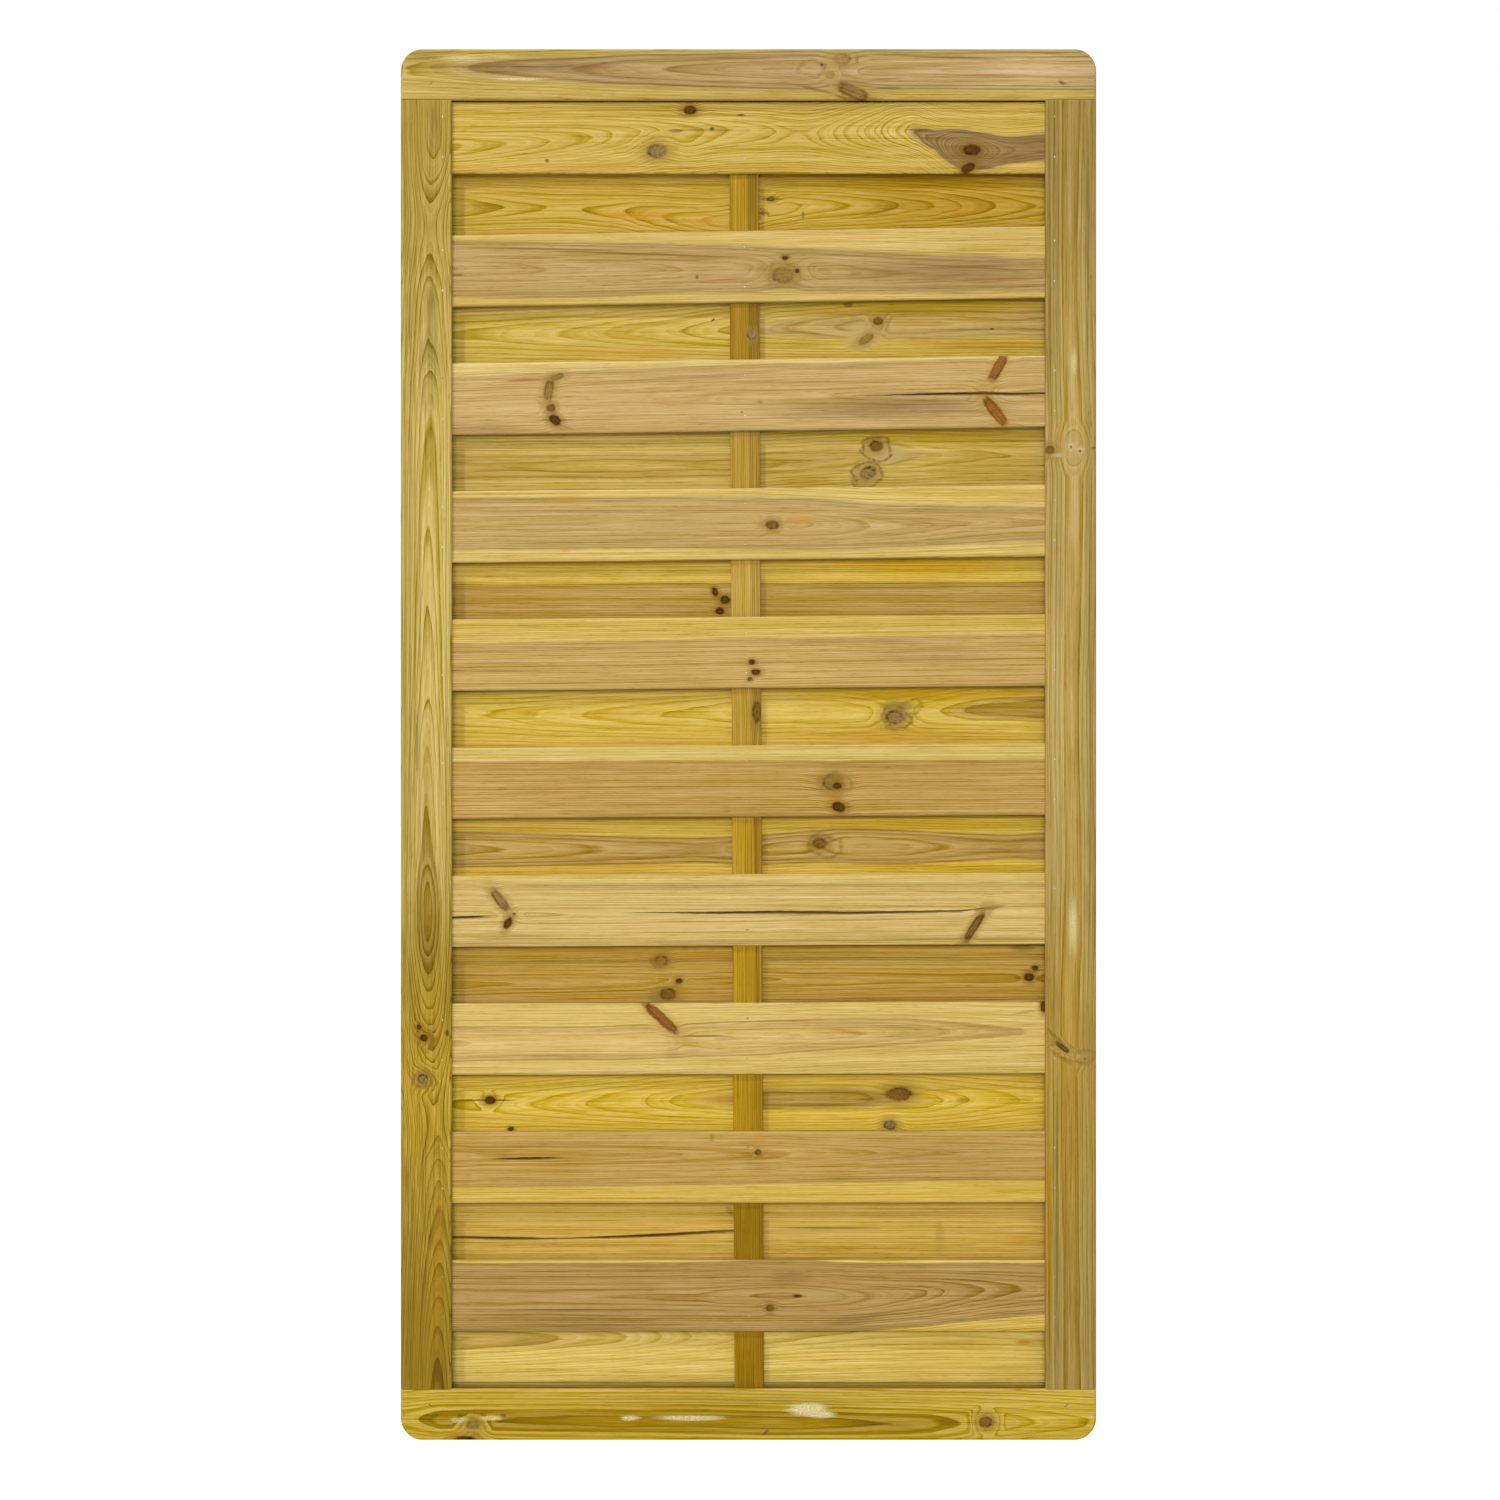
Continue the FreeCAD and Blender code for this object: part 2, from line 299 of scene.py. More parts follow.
FRONT_BOARDS = [
    Timber(
        sap=(202, 170, 80),
        heart=(150, 120, 68),
        pith=[
            (451, 147, 28), (599, 138, 35), (700, 134, 42), (765, 133, 46), (820, 134, 46), (880, 131, 35),
            (908, 131, 27.5), (922, 135, 24.8), (940, 143, 20.5), (966, 150, 8), (1000, 151, 18),
            (1045, 147, 21),
        ],
        heart_radius=26,
        ring=2.0,
        knots=[
            Knot((657, 151), (20, 14), "grey", bulge=5),
            Knot((690, 110), (13, 9), "dark", tail=32),
            Knot((972, 150), (18, 11), "dark", bulge=0),
            Knot((968, 168), (15, 9), "dark", 30, bulge=0),
        ],
        marks=[
            Mark((748, 105), (900, 22), "dull", 0.9),
            Mark((922, 131), (50, 4), "shade", 0.9, -4),
            Mark((972, 133), (80, 4), "shade", 0.9, -3),
            Mark((970, 158), (60, 26), "shade", 0.5, -30),
            Mark((1022, 167), (70, 10), "pale", 1.0),
            Mark((706, 130), (84, 4), "crack", 0.4),
            Mark((712, 129), (9, 5), "crack", 0.9),
            Mark((676, 131), (20, 5), "crack", 0.5),
            Mark((741, 115), (12, 3), "crack", 0.8),
            Mark((547, 161), (6, 5), "crack", 0.7, -60),
        ],
    ),
    Timber(
        sap=(205, 175, 94),
        heart=(184, 152, 90),
        pith=[(451, 269, 27), (745, 269, 33), (850, 271, 35.5), (1045, 273.8, 38.7)],
        heart_radius=44,
        contrast=0.6,
        knots=[
            Knot((783, 275), (24, 16), "olive", bulge=4),
            Knot((785, 258), (6, 4), "dark", bulge=1),
            Knot((797, 271), (4, 4), "dark", bulge=0.5),
        ],
        marks=[
            Mark((783, 274), (34, 23), "swirl", 0.45),
            Mark((540, 249), (190, 3), "line", 0.7, -1),
            Mark((640, 254), (240, 3), "line", 0.65, -2),
            Mark((560, 297), (220, 3), "line", 0.5, 1),
            Mark((720, 280), (60, 2.5), "red", 0.6, 4),
            Mark((697, 277), (5, 6), "crack", 0.6),
            Mark((950, 272), (270, 44), "shade", 0.7),
            Mark((1000, 281), (110, 3), "red", 0.5, 3),
            Mark((458, 275), (18, 4), "crack", 0.5),
            Mark((970, 267), (90, 4), "line", 0.5, 2),
        ],
    ),
    Timber(
        sap=(213, 185, 110),
        heart=(196, 163, 98),
        pith=[(451, 410, 28), (560, 405, 27), (700, 400, 26), (850, 396, 24), (1045, 393, 22)],
        heart_radius=50,
        contrast=0.6,
        knots=[
            Knot((557, 377), (14, 6), "olive", 20, bulge=1),
            Knot((549, 390), (9, 20), "olive", -10, bulge=2),
            Knot((551, 408), (9, 8), "brown", bulge=2),
            Knot((555, 420), (13, 9), "dark", -40, tail=40),
            Knot((998, 368), (10, 29), "red", -30),
            Knot((995, 411), (11, 34), "red", 38),
        ],
        marks=[
            Mark((526, 380), (60, 4), "red", 0.8, 1),
            Mark((480, 428), (120, 16), "shade", 0.5),
            Mark((890, 408), (320, 34), "shade", 0.8, 2),
            Mark((680, 378), (260, 7), "shade", 0.55, 4),
            Mark((850, 367), (200, 7), "shade", 0.4, 2),
            Mark((760, 402), (8, 6), "olive", 0.7),
            Mark((742, 412), (4, 4), "crack", 0.5),
            Mark((568, 428), (18, 5), "shade", 0.6, -20),
            Mark((960, 394), (210, 5), "crack", 0.5),
        ],
        splits=[
            Split([(854, 396, 0.4), (930, 394, 2.4), (985, 393, 4.4), (1010, 394, 2.8), (1050, 393, 3.2)]),
        ],
    ),
    Timber(
        sap=(213, 184, 101),
        heart=(193, 161, 94),
        pith=[(451, 524, 30), (760, 523, 30), (870, 526, 34), (1045, 523, 39)],
        heart_radius=44,
        contrast=0.7,
        knots=[Knot((772, 525), (13, 9), "brown", bulge=3, tail=34)],
        marks=[
            Mark((570, 500), (44, 18), "stain", 0.4),
            Mark((565, 550), (14, 8), "stain", 0.4),
            Mark((800, 522), (44, 26), "stain", 0.3),
            Mark((600, 512), (300, 6), "shade", 0.4),
            Mark((600, 541), (300, 6), "shade", 0.4),
            Mark((820, 500), (150, 6), "shade", 0.5, -4),
            Mark((960, 494), (240, 22), "gold", 0.35),
        ],
    ),
    Timber(
        sap=(211, 178, 88),
        heart=(199, 165, 94),
        pith=[(451, 705, 28), (1045, 695, 28)],
        heart_radius=84,
        knots=[
            Knot((752, 662), (6, 5), "dark", bulge=1),
            Knot((756, 672), (9, 6), "dark", bulge=1.5),
            Knot((750, 679), (5, 4), "brown", bulge=1),
        ],
        marks=[
            Mark((930, 655), (240, 34), "shade", 0.25),
            Mark((850, 642), (300, 6), "shade", 0.45, 1),
            Mark((560, 648), (220, 5), "shade", 0.4),
            Mark((930, 685), (250, 6), "pale", 0.5, 1),
            Mark((500, 671), (110, 2.5), "line", 0.6),
        ],
        splits=[Split([(446, 671, 1.4), (468, 670.5, 0.2)])],
    ),
    Timber(
        sap=(213, 185, 102),
        heart=(195, 157, 84),
        pith=[(451, 826, 25), (1045, 824, 25)],
        heart_radius=86,
        knots=[
            Knot((833, 782), (22, 17), "olive", bulge=4),
            Knot((837, 786), (9, 6), "dark", bulge=1),
            Knot((839, 807), (13, 10), "dark", -20, tail=34),
        ],
        marks=[
            Mark((834, 783), (29, 22), "swirl", 0.45),
            # painted shade along the lower edge, where the rounded edge turns from the light
            Mark((748, 819), (760, 18), "shade", 0.6),
            Mark((850, 766), (420, 7), "shade", 0.5),
            Mark((600, 770), (320, 6), "shade", 0.35),
            Mark((835, 796), (34, 44), "stain", 0.35),
        ],
    ),
    Timber(
        sap=(217, 187, 107),
        heart=(213, 182, 107),
        pith=[(451, 915, 12), (1045, 912, 16)],
        heart_radius=40,
        knots=[
            Knot((500, 900), (9, 26), "tan", 38),
            Knot((508, 923), (7, 12), "dark", -30, bulge=2),
            Knot((974, 927), (7.5, 33), "brown", -33),
        ],
        marks=[
            Mark((640, 890), (380, 8), "shade", 0.25),
            Mark((880, 896), (290, 18), "shade", 0.1),
            Mark((505, 938), (120, 14), "shade", 0.35),
            Mark((880, 934), (220, 14), "shade", 0.1),
            Mark((514, 914), (5, 4), "crack", 0.9),
            Mark((466, 917), (70, 5), "crack", 0.55),
            Mark((800, 912.5), (390, 5), "crack", 0.5),
            Mark((990, 908), (40, 6), "crack", 0.5, 10),
        ],
        splits=[
            Split([
                (446, 918, 3.4), (470, 917, 3.0), (497, 915, 0.0), (615, 912, 0.0), (700, 913, 2.2),
                (780, 912, 4.2),
                (850, 913, 4.0), (960, 911, 3.0), (985, 908, 0.4),
            ]),
        ],
    ),
    Timber(
        sap=(217, 187, 103),
        heart=(213, 179, 102),
        pith=[
            (451, 1044, 38), (640, 1042, 38.5), (800, 1036, 39.5), (900, 1032, 41), (1021, 1031, 44),
            (1045, 1031, 45),
        ],
        heart_radius=44,
        ring=2.0,
        contrast=0.7,
        knots=[Knot((661, 1018), (10, 44), "red", 48, bulge=1.5), Knot((1044, 1006), (7, 12), "dark")],
        marks=[
            Mark((705, 1036), (60, 3), "crack", 0.6),
            Mark((672, 1052), (24, 26), "shade", 0.4),
            Mark((1025, 1012), (44, 5), "shade", 0.6, 10),
            Mark((560, 1056), (220, 6), "shade", 0.35),
            Mark((900, 1026), (220, 5), "shade", 0.25),
            Mark((900, 1046), (260, 5), "shade", 0.25),
        ],
    ),
    Timber(
        sap=(216, 181, 84),
        heart=(196, 158, 82),
        pith=[(451, 1156, 18), (760, 1154, 22), (1045, 1153, 28)],
        heart_radius=44,
        contrast=0.7,
        knots=[Knot((758, 1152), (6, 6), "brown", bulge=0.5)],
        marks=[
            Mark((757, 1138), (16, 26), "stain", 0.4, -20),
            Mark((762, 1172), (34, 16), "stain", 0.25),
            Mark((758, 1165), (40, 26), "shade", 0.3, -30),
            Mark((712, 1138), (8, 12), "shade", 0.6),
            Mark((528, 1158.5), (76, 4.5), "crack", 0.5),
            Mark((930, 1196), (260, 14), "gold", 0.4),
            Mark((900, 1178), (290, 6), "shade", 0.5),
            Mark((560, 1180), (260, 7), "shade", 0.4),
            Mark((560, 1145), (260, 7), "shade", 0.35),
            Mark((930, 1155), (260, 50), "shade", 0.35),
        ],
        splits=[Split([(490, 1159, 0.4), (520, 1158.5, 3.2), (545, 1158, 2.6), (568, 1158, 0.4)])],
    ),
    Timber(
        sap=(218, 184, 87),
        heart=(184, 150, 84),
        pith=[
            (451, 1297, 25), (700, 1297, 24), (797, 1296, 22), (870, 1297, 26), (951, 1293, 32),
            (1045, 1289, 38.5),
        ],
        heart_radius=50,
        contrast=1.2,
        knots=[Knot((770, 1308), (8, 7), "brown", bulge=2, tail=24)],
        marks=[
            # painted highlight along the top edge
            Mark((748, 1261), (780, 9), "pale", 0.4),
            Mark((830, 1296), (80, 16), "halo", 0.4),
            Mark((797, 1296), (15, 5), "crack", 1.0),
            Mark((600, 1318), (330, 24), "shade", 0.3),
            Mark((860, 1319), (100, 16), "shade", 0.6, 10),
            Mark((790, 1276), (60, 20), "shade", 0.5),
            Mark((560, 1310), (230, 3), "line", 0.6),
            Mark((600, 1325), (260, 3), "line", 0.6),
        ],
    ),
]

# Each back board gets a painted shadow line just under its front board, darker down the panel
BACK_BOARDS = [
    Timber(
        sap=(197, 163, 66),
        heart=(180, 140, 54),
        pith=[
            (451, 207, 30), (540, 208, 33.5), (590, 210, 33.5), (637, 213, 31), (720, 221, 26),
            (765, 212, 26),
            (800, 207, 27), (895, 206, 32), (941, 206, 35), (1045, 206, 42),
        ],
        heart_radius=0,
        contrast=1.2,
        knots=[
            Knot((771, 199), (8, 5), "brown", tail=28),
            Knot((763, 213), (5, 4), "olive", bulge=2, tail=22),
        ],
        marks=[
            Mark((803, 215), (4, 12), "crack", 0.5),
            Mark((824, 212), (4, 12), "stain", 0.6),
            Mark((880, 212), (70, 5), "shade", 0.8, 14),
            # painted shadow of the front board across the top of this back board
            Mark((900, 177), (560, 18), "shade", 0.5),
            Mark((485, 207), (54, 12), "shade", 0.5),
            Mark((640, 216), (130, 10), "stain", 0.65),
            Mark((700, 222), (64, 8), "stain", 0.5),
            Mark((960, 205), (300, 90), "amber", 0.8),
            # painted warm bounce light in that shadow
            Mark((925, 180), (360, 34), "gold", 1.0),
            Mark((893, 206), (70, 10), "shade", 0.4),
            Mark((968, 208), (60, 16), "stain", 0.5),
        ],
    ),
    Timber(
        sap=(204, 174, 80),
        heart=(193, 162, 89),
        pith=[
            (451, 335, 56), (600, 333, 52), (690, 330, 48), (770, 328, 44), (850, 326, 41), (930, 324, 40),
            (1045, 324, 41),
        ],
        heart_radius=44,
        knots=[Knot((878, 321), (10, 8), "brown"), Knot((866, 339), (17, 8), "olive", 32)],
        marks=[
            Mark((862, 336), (50, 36), "halo", 0.75),
            Mark((848, 305), (14, 6), "crack", 0.6),
            Mark((640, 351), (220, 10), "stain", 0.45),
            Mark((990, 346), (220, 26), "amber", 0.9),
            # painted warm bounce light in the shadow under the front board
            Mark((930, 306), (360, 36), "gold", 0.95),
            Mark((960, 302), (220, 16), "shade", 0.4),
            Mark((800, 346), (110, 16), "amber", 0.4),
            Mark((713, 320), (7, 3), "crack", 0.8, 45),
            Mark((992, 329), (7, 3), "crack", 0.8),
        ],
    ),
    Timber(
        sap=(201, 173, 87),
        heart=(203, 169, 84),
        pith=[(451, 467, 41), (740, 465, 41), (850, 458, 42), (930, 456, 44.5), (1045, 456, 47)],
        heart_radius=44,
        knots=[
            Knot((876, 446), (14, 11), "brown", bulge=1.5),
            Knot((868, 473), (17, 13), "grey", 30, bulge=1.5),
        ],
        marks=[
            Mark((990, 462), (200, 80), "amber", 0.6),
            # painted warm bounce light in the shadow under the front board
            Mark((930, 436), (360, 32), "gold", 0.85),
            Mark((800, 479), (110, 22), "amber", 0.6),
            Mark((885, 453), (66, 24), "halo", 0.85, -6),
            Mark((866, 472), (34, 26), "halo", 0.85),
            Mark((877, 449), (31, 24), "swirl", 0.85),
            Mark((867, 474), (30, 24), "swirl", 0.85, 20),
            Mark((900, 462), (50, 4), "line", 0.4, 14),
            Mark((900, 445), (50, 4), "line", 0.4, -12),
        ],
    ),
    Timber(
        sap=(216, 182, 82),
        heart=(186, 150, 72),
        seam=0.25,
        pith=[(451, 636, 28), (1045, 634, 28)],
        heart_radius=72,
        knots=[
            Knot((715, 592), (6, 9), "dark", 20, bulge=1.5),
            Knot((725, 600), (10, 8), "dark", bulge=2),
            Knot((720, 611), (9, 7), "dark", bulge=2),
        ],
        marks=[
            # painted warm bounce light in the shadow under the front board, in these two strips
            Mark((920, 566), (360, 32), "gold", 0.95),
            Mark((590, 566), (330, 14), "gold", 0.4),
            Mark((880, 588), (240, 4), "line", 0.5),
        ],
    ),
    Timber(
        sap=(216, 183, 79),
        heart=(188, 149, 66),
        seam=0.45,
        pith=[
            (451, 716, 54), (540, 716, 52), (720, 713, 47.6), (830, 712, 46), (893, 714, 48), (968, 710, 44),
            (1045, 709, 42.8),
        ],
        heart_radius=44,
        knots=[Knot((895, 717), (20, 15), "grey", bulge=2.5)],
        marks=[
            Mark((890, 735), (360, 30), "amber", 0.8),
            # painted warm bounce light in the shadow under the front board
            Mark((920, 694), (360, 32), "gold", 0.95),
            Mark((897, 706), (46, 14), "olive", 0.75),
            Mark((896, 717), (28, 21), "swirl", 0.7),
            Mark((910, 708), (24, 14), "swirl", 0.45, 20),
            Mark((620, 714), (160, 6), "stain", 0.4),
        ],
    ),
    Timber(
        sap=(217, 182, 74),
        heart=(191, 155, 79),
        seam=0.6,
        pith=[
            (451, 850, 38), (682, 850, 41), (760, 850, 40), (819, 846, 38.5), (900, 847, 38.5),
            (988, 847, 41.5),
            (1045, 846, 41.5),
        ],
        heart_radius=44,
        ring=2.0,
        knots=[Knot((820, 843), (15, 11), "brown", bulge=1.2)],
        marks=[
            Mark((825, 846), (31, 22), "swirl", 0.6, -10),
            Mark((960, 866), (240, 20), "gold", 0.5),
            # painted warm bounce light in the shadow under the front board
            Mark((920, 824), (340, 18), "gold", 0.75),
            Mark((600, 868), (310, 12), "stain", 0.25),
            Mark((640, 850), (80, 8), "halo", 0.4),
        ],
    ),
    Timber(
        sap=(197, 159, 66),
        heart=(188, 150, 67),
        seam=0.7,
        pith=[(451, 985, 20), (760, 980, 22), (1045, 978, 24)],
        knots=[
            Knot((661, 961), (14, 11), "olive", bulge=1.5),
            Knot((679, 981), (7, 5), "dark", bulge=1),
            Knot((668, 994), (17, 12), "brown", bulge=1.5),
            Knot((1035, 968), (6, 5), "dark", bulge=1),
            Knot((1029, 977), (10, 8), "dark", bulge=1),
        ],
        marks=[
            Mark((661, 961), (17, 13), "swirl", 0.6),
            Mark((657, 997), (28, 16), "olive", 0.7),
            Mark((684, 990), (34, 9), "stain", 0.55, 10),
            Mark((1022, 948), (34, 12), "crack", 0.4),
            Mark((560, 951), (260, 8), "stain", 0.4),
            Mark((700, 957), (150, 8), "stain", 0.5),
        ],
    ),
    Timber(
        sap=(220, 185, 72),
        heart=(184, 150, 68),
        seam=0.8,
        pith=[
            (451, 1105, 56), (640, 1101, 48), (740, 1099, 44.2), (800, 1098, 42.8), (880, 1098, 43.2),
            (940, 1100, 46), (1045, 1098, 52),
        ],
        heart_radius=44,
        knots=[
            Knot((490, 1100), (11, 8), "dark", tail=76),
            Knot((511, 1129), (6, 4), "dark", bulge=1),
            Knot((899, 1094), (26, 14), "brown", bulge=1, tail=60),
            Knot((890, 1125), (13, 10), "grey"),
        ],
        marks=[
            Mark((720, 1098), (90, 9), "stain", 0.6),
            Mark((940, 1090), (60, 3), "crack", 0.4, 3),
            Mark((962, 1100), (18, 8), "crack", 0.35),
            Mark((960, 1118), (180, 16), "amber", 0.3),
        ],
    ),
    Timber(
        sap=(212, 175, 83),
        heart=(193, 155, 70),
        seam=0.9,
        pith=[(451, 1330, 30), (1045, 1330, 30)],
        heart_radius=20,
        marks=[
            Mark((500, 1238), (130, 5), "crack", 0.5, -1),
            Mark((660, 1235), (180, 5.5), "crack", 0.55, 2.5),
            Mark((825, 1228), (120, 3), "crack", 0.55),
            Mark((940, 1235), (12, 48), "olive", 0.3),
            Mark((730, 1211), (18, 10), "shade", 0.8, -40),
            Mark((1020, 1240), (50, 18), "stain", 0.35),
            Mark((900, 1213), (270, 5), "shade", 0.35),
            Mark((600, 1245), (290, 5), "shade", 0.35),
        ],
        splits=[
            Split([
                (446, 1237, 3.0), (520, 1238.5, 3.8), (560, 1238.5, 1.6), (640, 1236, 4.2), (733, 1231, 4.4),
                (760, 1230, 0.2),
            ]),
        ],
    ),
    Timber(
        sap=(231, 202, 104),
        heart=(222, 187, 88),
        seam=0.9,
        pith=[
            (451, 1340, 34), (560, 1338, 36.5), (640, 1336, 40), (735, 1334, 46), (900, 1332, 50),
            (1045, 1330, 49),
        ],
        heart_radius=36,
        marks=[
            Mark((1025, 1342), (24, 8), "stain", 0.8),
            Mark((950, 1356), (280, 80), "amber", 0.35),
            Mark((530, 1340), (60, 10), "shade", 0.4, 6),
        ],
    ),
]

# The batten's middle row in each gap that differs, in photo pixels, with how damp and how golden it is there
BATTEN_GAPS = [
    (204, 0.3, 0.7),
    (333, 0.6, 0.5),
    (460, 0.3, 0.2),
    (716, 0.15, 0.3),
    (846, 0.0, 0.8),
    (976, 0.05, 0.9),
    (1104, 0.1, 1.0),
    (1232, 0.8, 1.0),
    (1360, 0.65, 1.0),
]

# Places on the batten's left side that are shaded, in photo pixels, with how strongly
BATTEN_DARK_SIDE = [
    (753, 190, 0.6),
    (754, 320, 0.5),
    (756, 715, 0.3),
    (756, 850, 0.5),
    (757, 985, 0.5),
    (758, 1100, 0.3),
]

